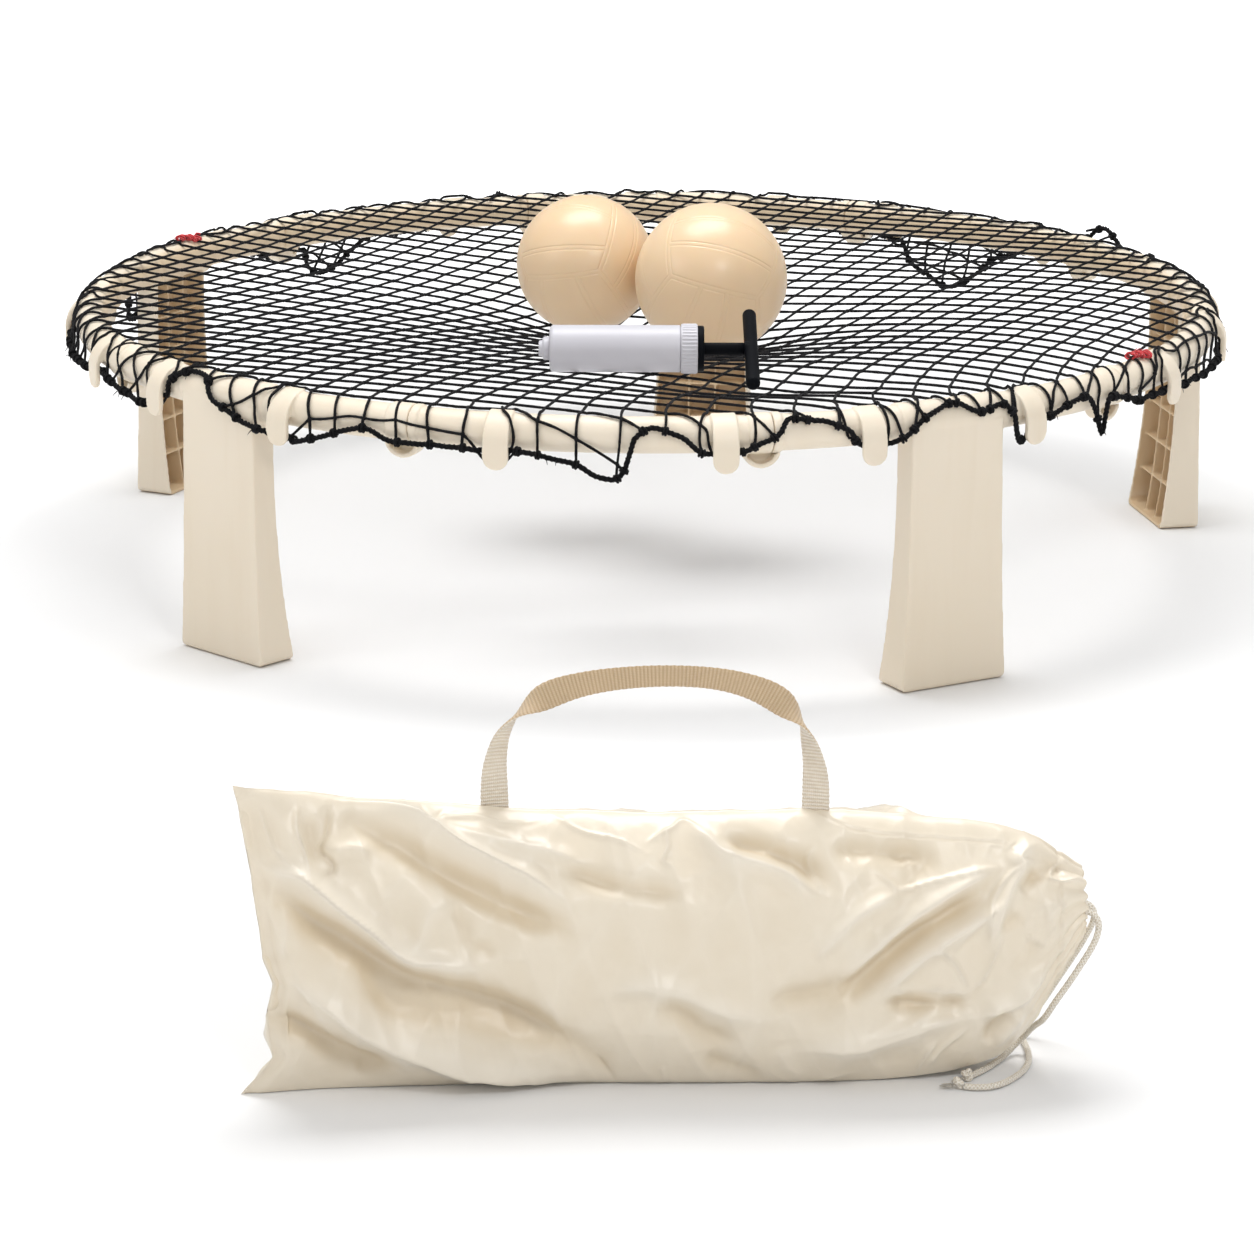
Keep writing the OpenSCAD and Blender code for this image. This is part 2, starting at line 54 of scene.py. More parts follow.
def set_camera():
    data = bpy.data.cameras.new("camera")
    data.sensor_fit = "HORIZONTAL"
    data.sensor_width = 36
    data.lens = 3949.34 / 1254 * 36
    data.clip_start = 0.05
    data.clip_end = 60
    cam = bpy.data.objects.new("camera", data)
    scene.collection.objects.link(cam)
    yaw, pitch, roll = 0.00098, 0.28485, 0.00264
    fwd = Vector((math.sin(yaw) * math.cos(pitch), math.cos(yaw) * math.cos(pitch), -math.sin(pitch)))
    right = Vector((math.cos(yaw), -math.sin(yaw), 0))
    up = right.cross(fwd)
    r2 = math.cos(roll) * right + math.sin(roll) * up
    u2 = -math.sin(roll) * right + math.cos(roll) * up
    m = Matrix((r2, u2, -fwd)).transposed().to_4x4()
    m.translation = Vector((-0.0174, -2.75998, 0.83672))
    cam.matrix_world = m
    scene.camera = cam


set_camera()

# ---------------------------------------------------------------- mesh helpers

def smoothstep(a, b, x):
    t = np.clip((np.asarray(x, float) - a) / (b - a), 0, 1)
    return t * t * (3 - 2 * t)


def make(name, verts, faces, mat, body, replaces=(), uv=None, smooth=True, midx=None):
    """A mesh object from arrays of points (mm) and of faces, which is an index array or a list of them."""
    verts = np.asarray(verts, float).reshape(-1, 3) * MM
    blocks = [np.asarray(f, np.int64) for f in (faces if isinstance(faces, list) else [faces]) if len(f)]
    loops = np.concatenate([b.ravel() for b in blocks]).astype(np.int32)
    sizes = np.concatenate([np.full(len(b), b.shape[1]) for b in blocks])
    starts = np.concatenate([[0], np.cumsum(sizes)[:-1]]).astype(np.int32)
    me = bpy.data.meshes.new(name)
    me.vertices.add(len(verts))
    me.vertices.foreach_set("co", verts.astype(np.float32).ravel())
    me.loops.add(len(loops))
    me.loops.foreach_set("vertex_index", loops)
    me.polygons.add(len(sizes))
    me.polygons.foreach_set("loop_start", starts)
    me.polygons.foreach_set("use_smooth", np.full(len(sizes), bool(smooth)))
    if midx is not None:
        me.polygons.foreach_set("material_index", np.asarray(midx, np.int32))
    me.update(calc_edges=True)
    if uv is not None:
        layer = me.uv_layers.new(name="UVMap")
        layer.data.foreach_set("uv", np.asarray(uv, np.float32).reshape(-1, 2)[loops].ravel())
    me.validate()
    for m in (mat if isinstance(mat, (list, tuple)) else [mat]):
        me.materials.append(m)
    o = bpy.data.objects.new(name, me)
    scene.collection.objects.link(o)
    if body:
        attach(o, body)
        if replaces:
            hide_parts(*replaces)
    return o


def unit(v):
    v = np.asarray(v, float)
    return v / np.maximum(np.linalg.norm(v, axis=-1, keepdims=True), 1e-12)


class Parts:
    """Gathers points, faces and UVs of many small shapes into one mesh."""

    def __init__(self):
        self.v, self.f, self.uv, self.n = [], [], [], 0

    def add(self, v, f, uv=None):
        v = np.asarray(v, float).reshape(-1, 3)
        self.v.append(v)
        for b in (f if isinstance(f, list) else [f]):
            if len(b):
                self.f.append(np.asarray(b, np.int64) + self.n)
        self.uv.append(np.zeros((len(v), 2)) if uv is None else np.asarray(uv, float).reshape(-1, 2))
        self.n += len(v)

    def faces(self):
        by = {}
        for b in self.f:
            by.setdefault(b.shape[1], []).append(b)
        return [np.concatenate(v) for v in by.values()]

    def make(self, name, mat, body, slot, replaces=(), smooth=True):
        return make(name, np.concatenate(self.v), self.faces(), mat, body, replaces, np.concatenate(self.uv), smooth)


def sweep(P, N, r, sides=6, caps=True, closed=False, v0=0.0):
    """Tube along points P (n,3) with reference normals N (n,3) and radius r (scalar, n, or n x sides)."""
    P = np.asarray(P, float)
    n = len(P)
    if closed:
        T = unit(np.roll(P, -1, 0) - np.roll(P, 1, 0))
    else:
        T = unit(np.gradient(P, axis=0))
    N = np.broadcast_to(np.asarray(N, float), P.shape)
    B = unit(np.cross(T, N))
    N2 = np.cross(B, T)
    a = np.arange(sides) * 2 * math.pi / sides
    r = np.broadcast_to(np.asarray(r, float).reshape(-1, 1) if np.ndim(r) == 1 else np.asarray(r, float), (n, sides))
    V = P[:, None] + r[..., None] * (np.cos(a)[None, :, None] * N2[:, None] + np.sin(a)[None, :, None] * B[:, None])
    L = v0 + np.concatenate([[0], np.cumsum(np.linalg.norm(np.diff(P, axis=0), axis=1))])
    uv = np.stack(np.broadcast_arrays((a / (2 * math.pi))[None, :], L[:, None]), -1)
    i = np.arange(n if closed else n - 1)[:, None]
    k = np.arange(sides)[None, :]
    j = (i + 1) % n
    k2 = (k + 1) % sides
    F = np.stack(np.broadcast_arrays(i * sides + k, i * sides + k2, j * sides + k2, j * sides + k), -1).reshape(-1, 4)
    out = [F]
    if caps and not closed:
        out.append(np.arange(sides)[::-1][None, :])
        out.append((n - 1) * sides + np.arange(sides)[None, :])
    return V.reshape(-1, 3), out, uv.reshape(-1, 2)


def transport(P, start=(0, 0, 1), closed=False):
    """Normals that don't spin about the line through P."""
    P = np.asarray(P, float)
    T = unit(np.roll(P, -1, 0) - np.roll(P, 1, 0)) if closed else unit(np.gradient(P, axis=0))
    N = np.zeros_like(P)
    n = np.asarray(start, float)
    n = unit(n - T[0] * (n @ T[0]))
    for i in range(len(P)):
        n = n - T[i] * (n @ T[i])
        n = n / max(np.linalg.norm(n), 1e-9)
        N[i] = n
    return N


def catmull(pts, m, closed=False):
    """The same smooth line as the part's own: m steps between each two points."""
    p = np.asarray(pts, float)
    n = len(p)
    e = n if closed else n - 1
    out = []
    for i in range(e):
        a = p[(i - 1) % n] if closed else p[max(i - 1, 0)]
        b = p[i]
        c = p[(i + 1) % n]
        d = p[(i + 2) % n] if closed else p[min(i + 2, n - 1)]
        for j in range(m):
            t = j / m
            out.append(0.5 * (2 * b + (c - a) * t + (2 * a - 5 * b + 4 * c - d) * t * t + (3 * b - a - 3 * c + d) * t ** 3))
    if not closed:
        out.append(p[-1])
    return np.array(out)


def resample(P, step):
    P = np.asarray(P, float)
    s = np.concatenate([[0], np.cumsum(np.linalg.norm(np.diff(P, axis=0), axis=1))])
    n = max(2, int(math.ceil(s[-1] / step)) + 1)
    t = np.linspace(0, s[-1], n)
    return np.stack([np.interp(t, s, P[:, k]) for k in range(P.shape[1])], -1)


def length_of(P):
    return float(np.linalg.norm(np.diff(P, axis=0), axis=1).sum())


def icosphere(sub):
    bm = bmesh.new()
    bmesh.ops.create_icosphere(bm, subdivisions=sub, radius=1)
    bm.verts.ensure_lookup_table()
    V = np.array([v.co for v in bm.verts])
    F = np.array([[v.index for v in f.verts] for f in bm.faces])
    bm.free()
    return V, F


def rounded(profile, radii, steps=5):
    """Rounds the corners of an open polyline (2D), radii per corner, 0 keeps it."""
    p = np.asarray(profile, float)
    out = []
    for i, q in enumerate(p):
        r = radii[i] if np.ndim(radii) else radii
        if i in (0, len(p) - 1) or r <= 0:
            out.append(q)
            continue
        a, b = p[i - 1] - q, p[i + 1] - q
        la, lb = np.linalg.norm(a), np.linalg.norm(b)
        a, b = a / la, b / lb
        ang = math.acos(max(-1, min(1, a @ b)))
        if ang > math.pi - 0.02:
            out.append(q)
            continue
        t = min(r / math.tan(ang / 2), la * 0.49, lb * 0.49)
        rr = t * math.tan(ang / 2)
        mid = unit(a + b)
        c = q + mid * rr / math.sin(ang / 2)
        s, e = q + a * t - c, q + b * t - c
        a0, a1 = math.atan2(s[1], s[0]), math.atan2(e[1], e[0])
        d = (a1 - a0 + math.pi) % (2 * math.pi) - math.pi
        for k in range(steps + 1):
            w = a0 + d * k / steps
            out.append(c + rr * np.array([math.cos(w), math.sin(w)]))
    return np.array(out)


def lathe(profile, segs, radial=None):
    """Turns a profile of (along, radius) about the x axis. Ends on the axis are closed to one point."""
    prof = np.asarray(profile, float)
    a = np.arange(segs) * 2 * math.pi / segs
    V, F3, F4, rows = [], [], [], []
    n = 0
    for i, (x, r) in enumerate(prof):
        if r < 1e-6:
            V.append([[x, 0, 0]])
            rows.append((n, 1))
            n += 1
        else:
            rr = np.full(segs, r) if radial is None else radial(x, r, a)
            V.append(np.stack([np.full(segs, x), rr * np.cos(a), rr * np.sin(a)], -1))
            rows.append((n, segs))
            n += segs
    k = np.arange(segs)
    k2 = (k + 1) % segs
    for (s0, c0), (s1, c1) in zip(rows[:-1], rows[1:]):
        if c0 == 1 and c1 == 1:
            continue
        if c0 == 1:
            F3.append(np.stack([np.full(segs, s0), s1 + k2, s1 + k], -1))
        elif c1 == 1:
            F3.append(np.stack([s0 + k, s0 + k2, np.full(segs, s1)], -1))
        else:
            F4.append(np.stack([s0 + k, s0 + k2, s1 + k2, s1 + k], -1))
    return np.concatenate([np.asarray(v, float).reshape(-1, 3) for v in V]), [np.concatenate(x) for x in (F3, F4) if x]


# ---------------------------------------------------------------- materials

class Mat:
    """Small wrapper that builds a node material."""

    def __init__(self, name, base, rough, **sockets):
        self.m = bpy.data.materials.new(name)
        self.m.use_nodes = True
        self.t = self.m.node_tree
        self.b = self.t.nodes["Principled BSDF"]
        self.b.inputs["Base Color"].default_value = (*base, 1)
        self.b.inputs["Roughness"].default_value = rough
        for k, v in sockets.items():
            self.b.inputs[k.replace("_", " ")].default_value = v
        self.height = None

    def node(self, kind, **props):
        n = self.t.nodes.new(kind)
        for k, v in props.items():
            setattr(n, k, v)
        return n

    def link(self, a, b):
        self.t.links.new(a, b)

    def coords(self, kind="Object"):
        if kind == "Position":
            return self.node("ShaderNodeNewGeometry").outputs["Position"]
        return self.node("ShaderNodeTexCoord").outputs[kind]

    def noise(self, scale, detail=3, rough=0.5, at=None, stretch=None, distortion=0.0):
        c = at or self.coords()
        if stretch:
            mp = self.node("ShaderNodeMapping")
            mp.inputs["Scale"].default_value = stretch
            self.link(c, mp.inputs["Vector"])
            c = mp.outputs["Vector"]
        n = self.node("ShaderNodeTexNoise")
        n.inputs["Scale"].default_value = scale
        n.inputs["Detail"].default_value = detail
        n.inputs["Roughness"].default_value = rough
        n.inputs["Distortion"].default_value = distortion
        self.link(c, n.inputs["Vector"])
        return n.outputs["Fac"]

    def ramp(self, fac, a, b, ca=(0, 0, 0), cb=(1, 1, 1)):
        n = self.node("ShaderNodeValToRGB")
        n.color_ramp.elements[0].position = a
        n.color_ramp.elements[1].position = b
        n.color_ramp.elements[0].color = (*ca, 1)
        n.color_ramp.elements[1].color = (*cb, 1)
        self.link(fac, n.inputs["Fac"])
        return n.outputs["Color"]

    def mix(self, fac, a, b, blend="MIX"):
        n = self.node("ShaderNodeMix", data_type="RGBA", blend_type=blend)
        for sock, val in ((n.inputs[0], fac), (n.inputs[6], a), (n.inputs[7], b)):
            if isinstance(val, (int, float)):
                sock.default_value = val if sock.type == "VALUE" else (val, val, val, 1)
            elif isinstance(val, tuple):
                sock.default_value = (*val, 1)
            else:
                self.link(val, sock)
        return n.outputs[2]

    def math(self, op, a, b=0.0, clamp=False):
        n = self.node("ShaderNodeMath", operation=op, use_clamp=clamp)
        for sock, val in ((n.inputs[0], a), (n.inputs[1], b)):
            if isinstance(val, (int, float)):
                sock.default_value = val
            else:
                self.link(val, sock)
        return n.outputs[0]

    def colour(self, sock):
        self.link(sock, self.b.inputs["Base Color"])

    def rough(self, fac, lo, hi):
        n = self.node("ShaderNodeMapRange")
        n.inputs["To Min"].default_value = lo
        n.inputs["To Max"].default_value = hi
        self.link(fac, n.inputs["Value"])
        self.link(n.outputs["Result"], self.b.inputs["Roughness"])

    def bump(self, height, distance, strength=1.0):
        n = self.node("ShaderNodeBump")
        n.inputs["Distance"].default_value = distance
        n.inputs["Strength"].default_value = strength
        self.link(height, n.inputs["Height"])
        if self.height is not None:
            self.link(self.height, n.inputs["Normal"])
        self.height = n.outputs["Normal"]
        self.link(self.height, self.b.inputs["Normal"])


def material_frame():
    m = Mat("frame_plastic", (0.79, 0.70, 0.57), 0.42, Specular_IOR_Level=0.4)
    m.b.inputs["Subsurface Weight"].default_value = 0.06
    m.b.inputs["Subsurface Radius"].default_value = (0.006, 0.004, 0.0025)
    m.b.inputs["Subsurface Scale"].default_value = 0.5
    pos = m.coords("Position")
    big = m.noise(7, 2, 0.5, at=pos)
    flow = m.noise(30, 3, 0.6, at=pos, stretch=(1, 1, 0.12), distortion=0.6)
    c = m.mix(m.ramp(big, 0.35, 0.7), (0.80, 0.71, 0.58), (0.77, 0.675, 0.535))
    c = m.mix(m.ramp(flow, 0.5, 0.78, cb=(0.4, 0.4, 0.4)), c, (0.72, 0.61, 0.46))
    # painted shade: the hollow backs of the legs and the tube's inner side are coloured a deeper tan, standing in for
    # the shade and warm bounce light in them
    at = m.node("ShaderNodeAttribute", attribute_name="inner")
    c = m.mix(m.ramp(at.outputs["Fac"], 0.0, 1.0, cb=(0.85, 0.85, 0.85)), c, (0.64, 0.47, 0.28))
    m.colour(c)
    m.rough(m.noise(120, 3, 0.6, at=pos), 0.36, 0.5)
    m.bump(m.noise(900, 2, 0.5, at=pos), 0.00004, 0.5)
    m.bump(m.noise(22, 2, 0.5, at=pos), 0.0006, 0.35)
    return m.m


def material_net():
    m = Mat("net_cord", (0.008, 0.008, 0.009), 0.62, Specular_IOR_Level=0.1)
    m.b.inputs["Sheen Weight"].default_value = 0.02
    m.b.inputs["Sheen Roughness"].default_value = 0.4
    uv = m.coords("UV")
    sep = m.node("ShaderNodeSeparateXYZ")
    m.link(uv, sep.inputs[0])
    # two-ply twist: stripes that run round the cord as they go along it
    t = m.math("ADD", m.math("MULTIPLY", sep.outputs[0], 2.0), m.math("MULTIPLY", sep.outputs[1], 0.42))
    w = m.math("SINE", m.math("MULTIPLY", t, 2 * math.pi))
    fuzz = m.noise(2500, 2, 0.6)
    m.colour(m.mix(m.ramp(m.noise(60, 2), 0.3, 0.75), (0.005, 0.005, 0.006), (0.012, 0.012, 0.014)))
    m.bump(w, 0.00025, 0.7)
    m.bump(fuzz, 0.0003, 0.6)
    m.rough(fuzz, 0.5, 0.8)
    return m.m


def material_yarn():
    m = Mat("marker_yarn", (0.55, 0.012, 0.02), 0.75)
    m.b.inputs["Sheen Weight"].default_value = 0.4
    f = m.noise(1800, 3, 0.6)
    m.colour(m.mix(m.ramp(f, 0.3, 0.7), (0.42, 0.006, 0.012), (0.72, 0.03, 0.04)))
    m.bump(f, 0.0005, 0.8)
    return m.m


def material_ball():
    m = Mat("ball_rubber", (0.80, 0.60, 0.395), 0.3, Specular_IOR_Level=0.5)
    m.b.inputs["Subsurface Weight"].default_value = 0.18
    m.b.inputs["Subsurface Radius"].default_value = (0.012, 0.006, 0.0025)
    m.b.inputs["Subsurface Scale"].default_value = 0.6
    f = m.noise(9, 3, 0.5)
    m.colour(m.mix(m.ramp(f, 0.35, 0.7), (0.795, 0.60, 0.39), (0.77, 0.56, 0.35)))
    m.rough(m.noise(25, 2, 0.5), 0.28, 0.32)
    m.bump(m.noise(1400, 2, 0.5), 0.00002, 0.3)
    return m.m


def material_pump(name, base, dark, lo, hi, grain=0.00003, gloss=0.5):
    m = Mat(name, base, lo, Specular_IOR_Level=gloss)
    f = m.noise(14, 3, 0.5)
    m.colour(m.mix(m.ramp(f, 0.35, 0.7), base, dark))
    m.rough(m.noise(150, 3, 0.6), lo, hi)
    m.bump(m.noise(1200, 2, 0.5), grain, 0.5)
    return m.m


def material_satin():
    m = Mat("bag_satin", (0.78, 0.695, 0.555), 0.34, Specular_IOR_Level=0.55)
    m.b.inputs["Sheen Weight"].default_value = 0.3
    m.b.inputs["Sheen Roughness"].default_value = 0.35
    m.b.inputs["Sheen Tint"].default_value = (1.0, 0.95, 0.85, 1)
    m.b.inputs["Coat Weight"].default_value = 0.36
    m.b.inputs["Coat Roughness"].default_value = 0.26
    pos = m.coords("Object")
    at = m.node("ShaderNodeAttribute", attribute_name="fold_painted_light")
    c = m.mix(m.ramp(m.noise(16, 3, 0.55), 0.3, 0.75), (0.785, 0.70, 0.565), (0.765, 0.675, 0.535))
    # painted shade and highlight: hollows are coloured warmer and deeper, standing in for their shade, and crests a
    # little paler, standing in for the light on them
    c = m.mix(m.ramp(at.outputs["Fac"], 0.1, 0.5, ca=(0.6, 0.6, 0.6), cb=(0, 0, 0)), c, (0.64, 0.52, 0.35))
    c = m.mix(m.ramp(at.outputs["Fac"], 0.55, 0.95, cb=(0.6, 0.6, 0.6)), c, (0.81, 0.745, 0.635))
    m.colour(c)
    # plain weave, threads 0.35 mm apart
    wx = m.node("ShaderNodeTexWave", wave_type="BANDS", bands_direction="X")
    wz = m.node("ShaderNodeTexWave", wave_type="BANDS", bands_direction="Z")
    for w in (wx, wz):
        w.inputs["Scale"].default_value = 900
        w.inputs["Distortion"].default_value = 0.4
        m.link(pos, w.inputs["Vector"])
    m.bump(m.math("ADD", wx.outputs["Fac"], wz.outputs["Fac"]), 0.00004, 0.5)
    m.bump(m.noise(85, 4, 0.6), 0.0012, 0.12)
    m.rough(m.noise(40, 3, 0.6), 0.3, 0.44)
    return m.m


def material_webbing(name="bag_webbing", dark=(0.66, 0.565, 0.44), light=(0.84, 0.775, 0.68), worn=(0.58, 0.48, 0.35)):
    m = Mat(name, light, 0.7)
    m.b.inputs["Sheen Weight"].default_value = 0.3
    uv = m.coords("UV")
    sep = m.node("ShaderNodeSeparateXYZ")
    m.link(uv, sep.inputs[0])
    x, y = sep.outputs[0], sep.outputs[1]
    rows = m.math("SINE", m.math("MULTIPLY", y, 2 * math.pi / 2.0))
    cols = m.math("SINE", m.math("MULTIPLY", x, 2 * math.pi / 1.1))
    weave = m.math("MULTIPLY", m.math("ADD", rows, 1.0), m.math("ADD", m.math("MULTIPLY", cols, 0.35), 1.0))
    f = m.ramp(m.math("MULTIPLY", weave, 0.5), 0.1, 0.8)
    c = m.mix(f, dark, light)
    m.colour(m.mix(m.ramp(m.noise(300, 3), 0.4, 0.8, cb=(0.35, 0.35, 0.35)), c, worn))
    m.bump(weave, 0.0003, 0.7)
    m.bump(m.noise(2600, 2, 0.6), 0.0002, 0.5)
    return m.m


def material_string():
    m = Mat("bag_string", (0.86, 0.80, 0.69), 0.72)
    m.b.inputs["Sheen Weight"].default_value = 0.3
    uv = m.coords("UV")
    sep = m.node("ShaderNodeSeparateXYZ")
    m.link(uv, sep.inputs[0])
    u, v = sep.outputs[0], sep.outputs[1]
    a = m.math("SINE", m.math("MULTIPLY", m.math("ADD", m.math("MULTIPLY", u, 4.0), m.math("MULTIPLY", v, 0.5)), 2 * math.pi))
    b = m.math("SINE", m.math("MULTIPLY", m.math("SUBTRACT", m.math("MULTIPLY", u, 4.0), m.math("MULTIPLY", v, 0.5)), 2 * math.pi))
    braid = m.math("MAXIMUM", a, b)
    m.colour(m.mix(m.ramp(braid, -0.2, 0.9), (0.74, 0.66, 0.53), (0.89, 0.84, 0.75)))
    m.bump(braid, 0.0003, 0.8)
    m.bump(m.noise(3000, 2, 0.6), 0.0002, 0.5)
    return m.m


def material_floor():
    m = Mat("floor", (0.83, 0.83, 0.83), 0.75, Specular_IOR_Level=0.12)
    pos = m.coords("Position")
    m.colour(m.mix(m.ramp(m.noise(0.7, 2, at=pos), 0.3, 0.7), (0.83, 0.83, 0.83), (0.825, 0.826, 0.83)))
    m.bump(m.noise(400, 2, at=pos), 0.00003, 0.3)
    # a lit sweep: away from the set the floor is as bright as under the lamps
    far = m.node("ShaderNodeVectorMath", operation="MULTIPLY_ADD")
    m.link(pos, far.inputs[0])
    far.inputs[1].default_value = (1.0, 0.75, 0.0)
    far.inputs[2].default_value = (0.0, 0.06, 0.0)
    size = m.node("ShaderNodeVectorMath", operation="LENGTH")
    m.link(far.outputs[0], size.inputs[0])
    m.b.inputs["Emission Color"].default_value = (1, 1, 1, 1)
    span = m.node("ShaderNodeMapRange", interpolation_type="SMOOTHSTEP")
    m.link(size.outputs["Value"], span.inputs["Value"])
    span.inputs["From Min"].default_value = 0.62
    span.inputs["From Max"].default_value = 1.7
    span.inputs["To Min"].default_value = 0.0
    span.inputs["To Max"].default_value = 0.85
    m.link(span.outputs["Result"], m.b.inputs["Emission Strength"])
    return m.m


M_FRAME = material_frame()
M_NET = material_net()
M_YARN = material_yarn()
M_BALL = material_ball()
M_WHITE = material_pump("pump_white", (0.585, 0.577, 0.62), (0.56, 0.55, 0.595), 0.34, 0.46)
M_BLACK = material_pump("pump_black", (0.003, 0.0035, 0.005), (0.005, 0.006, 0.008), 0.42, 0.55, 0.00006, 0.04)
M_SEAL = material_pump("seal_rubber", (0.03, 0.03, 0.03), (0.04, 0.04, 0.04), 0.3, 0.45)
M_SATIN = material_satin()
M_WEB = material_webbing()
# painted shade: the strap's second face, which faces down along the arch, gets a darker, tanner weave colour
M_WEB_PAINTED_SHADE = material_webbing("bag_webbing_inner", (0.47, 0.33, 0.19), (0.63, 0.48, 0.31), (0.52, 0.38, 0.23))
M_STRING = material_string()

# ---------------------------------------------------------------- floor and light

def stage():
    s = 40.0
    me = bpy.data.meshes.new("floor")
    n = 24
    V = [((i / n - 0.5) * s, (j / n - 0.35) * s, -0.0003) for j in range(n + 1) for i in range(n + 1)]
    F = [(j * (n + 1) + i, j * (n + 1) + i + 1, (j + 1) * (n + 1) + i + 1, (j + 1) * (n + 1) + i) for j in range(n) for i in range(n)]
    me.from_pydata(V, [], F)
    me.materials.append(material_floor())
    floor = bpy.data.objects.new("floor", me)
    scene.collection.objects.link(floor)

    world = bpy.data.worlds.new("studio")
    world.use_nodes = True
    bg = world.node_tree.nodes["Background"]
    bg.inputs["Color"].default_value = (1.0, 1.0, 1.0, 1)
    nt = world.node_tree
    tc = nt.nodes.new("ShaderNodeTexCoord")
    sep = nt.nodes.new("ShaderNodeSeparateXYZ")
    up = nt.nodes.new("ShaderNodeMapRange")
    nt.links.new(tc.outputs["Generated"], sep.inputs[0])
    nt.links.new(sep.outputs["Z"], up.inputs["Value"])
    for k, v in (("From Min", -0.1), ("From Max", 0.9), ("To Min", 0.28), ("To Max", 0.69)):
        up.inputs[k].default_value = v
    nt.links.new(up.outputs["Result"], bg.inputs["Strength"])
    scene.world = world

    def area(name, at, look, size, power, tint=(1, 1, 1)):
        d = bpy.data.lights.new(name, "AREA")
        d.shape = "RECTANGLE"
        d.size, d.size_y = size
        d.energy = power
        d.color = tint
        o = bpy.data.objects.new(name, d)
        scene.collection.objects.link(o)
        v = Vector(look) - Vector(at)
        o.matrix_world = Matrix.Translation(at) @ v.to_track_quat("-Z", "Y").to_matrix().to_4x4()
        return o

    area("key", (-0.15, 0.6, 2.75), (0, -0.1, 0.1), (2.0, 1.2), 60)
    area("side", (-2.6, -1.2, 1.6), (0, -0.3, 0.15), (1.1, 1.2), 10)
    area("front", (0.8, -2.3, 1.9), (0.05, -0.75, 0.08), (0.7, 0.45), 14)
    area("fill", (0.2, -3.4, 1.2), (0, -0.5, 0.1), (1.8, 0.7), 5.5)


stage()

# ---------------------------------------------------------------- drawstrings (cords first)

BAG_Y = -752.0
STRING_A = [
    [231.2, BAG_Y - 7, 92], [236, BAG_Y - 7, 91.6], [240, BAG_Y - 8, 86], [238, BAG_Y - 10, 76],
    [231, BAG_Y - 12, 64], [224, BAG_Y - 12, 52], [217, BAG_Y - 10, 40], [212, BAG_Y - 6, 29],
    [208, -742, 18], [204, -735, 9.5], [199, -736, 5], [193, -744, 2.2], [187, -754, 1.9],
    [180, -764, 1.9], [172, -773, 1.9]]
STRING_B = [
    [231.2, BAG_Y + 7, 92], [236, BAG_Y + 7, 91.6], [240, BAG_Y + 9, 85], [238, BAG_Y + 15, 74],
    [232, BAG_Y + 22, 58], [224, -722, 40], [217, -715, 24], [210, -711, 11], [205, -711, 4],
    [204, -716, 1.9], [205, -724, 1.9], [206, -734, 1.9], [206, -744, 1.9], [205, -754, 1.9], [201, -766, 1.9],
    [194, -777, 1.9], [186, -786, 1.9], [176, -790, 1.9], [167, -788, 1.9]]


def braided(P, r, amp=0.16, step=0.8):
    """A round braided cord: two sets of strands that wind in opposite ways show as low ridges."""
    P = resample(P, step)
    N = transport(P)
    L = np.concatenate([[0], np.cumsum(np.linalg.norm(np.diff(P, axis=0), axis=1))])
    sides = 16
    a = np.arange(sides) * 2 * math.pi / sides
    w = L[:, None] * 2 * math.pi / 8.0
    ridge = np.maximum(np.sin(4 * a[None] + w), np.sin(4 * a[None] - w))
    V, F, uv = sweep(P, N, r - amp + amp * ridge, sides)
    return P, V, F, uv


def knot(at, size, r, seed=0, turn=0.0):
    """An overhand knot as a real loop of cord, pulled tight."""
    t = np.linspace(0, 2 * math.pi, 90, endpoint=False)
    x = np.sin(t) + 2 * np.sin(2 * t)
    y = np.cos(t) - 2 * np.cos(2 * t)
    z = -np.sin(3 * t)
    Q = np.stack([x, y, z * 0.9], -1) / 3 * (size - r * 0.7)
    c, s = math.cos(turn), math.sin(turn)
    R = np.array([[c, -s, 0], [s, c, 0], [0, 0, 1]]) @ np.array([[1, 0, 0], [0, 0.6, -0.8], [0, 0.8, 0.6]])
    Q = Q @ R.T + np.asarray(at, float)
    N = transport(Q, closed=True)
    sides = 10
    return sweep(Q, N, r, sides, closed=True)


def eased(P, rounds, step=0.5, low=1.9):
    """The same route with its corners opened, as a limp cord lies; its ends stay where they are."""
    P = resample(P, step)
    for _ in range(rounds):
        P[1:-1] += 0.25 * (P[:-2] - 2 * P[1:-1] + P[2:])
    P[:, 2] = np.maximum(P[:, 2], low)
    return P


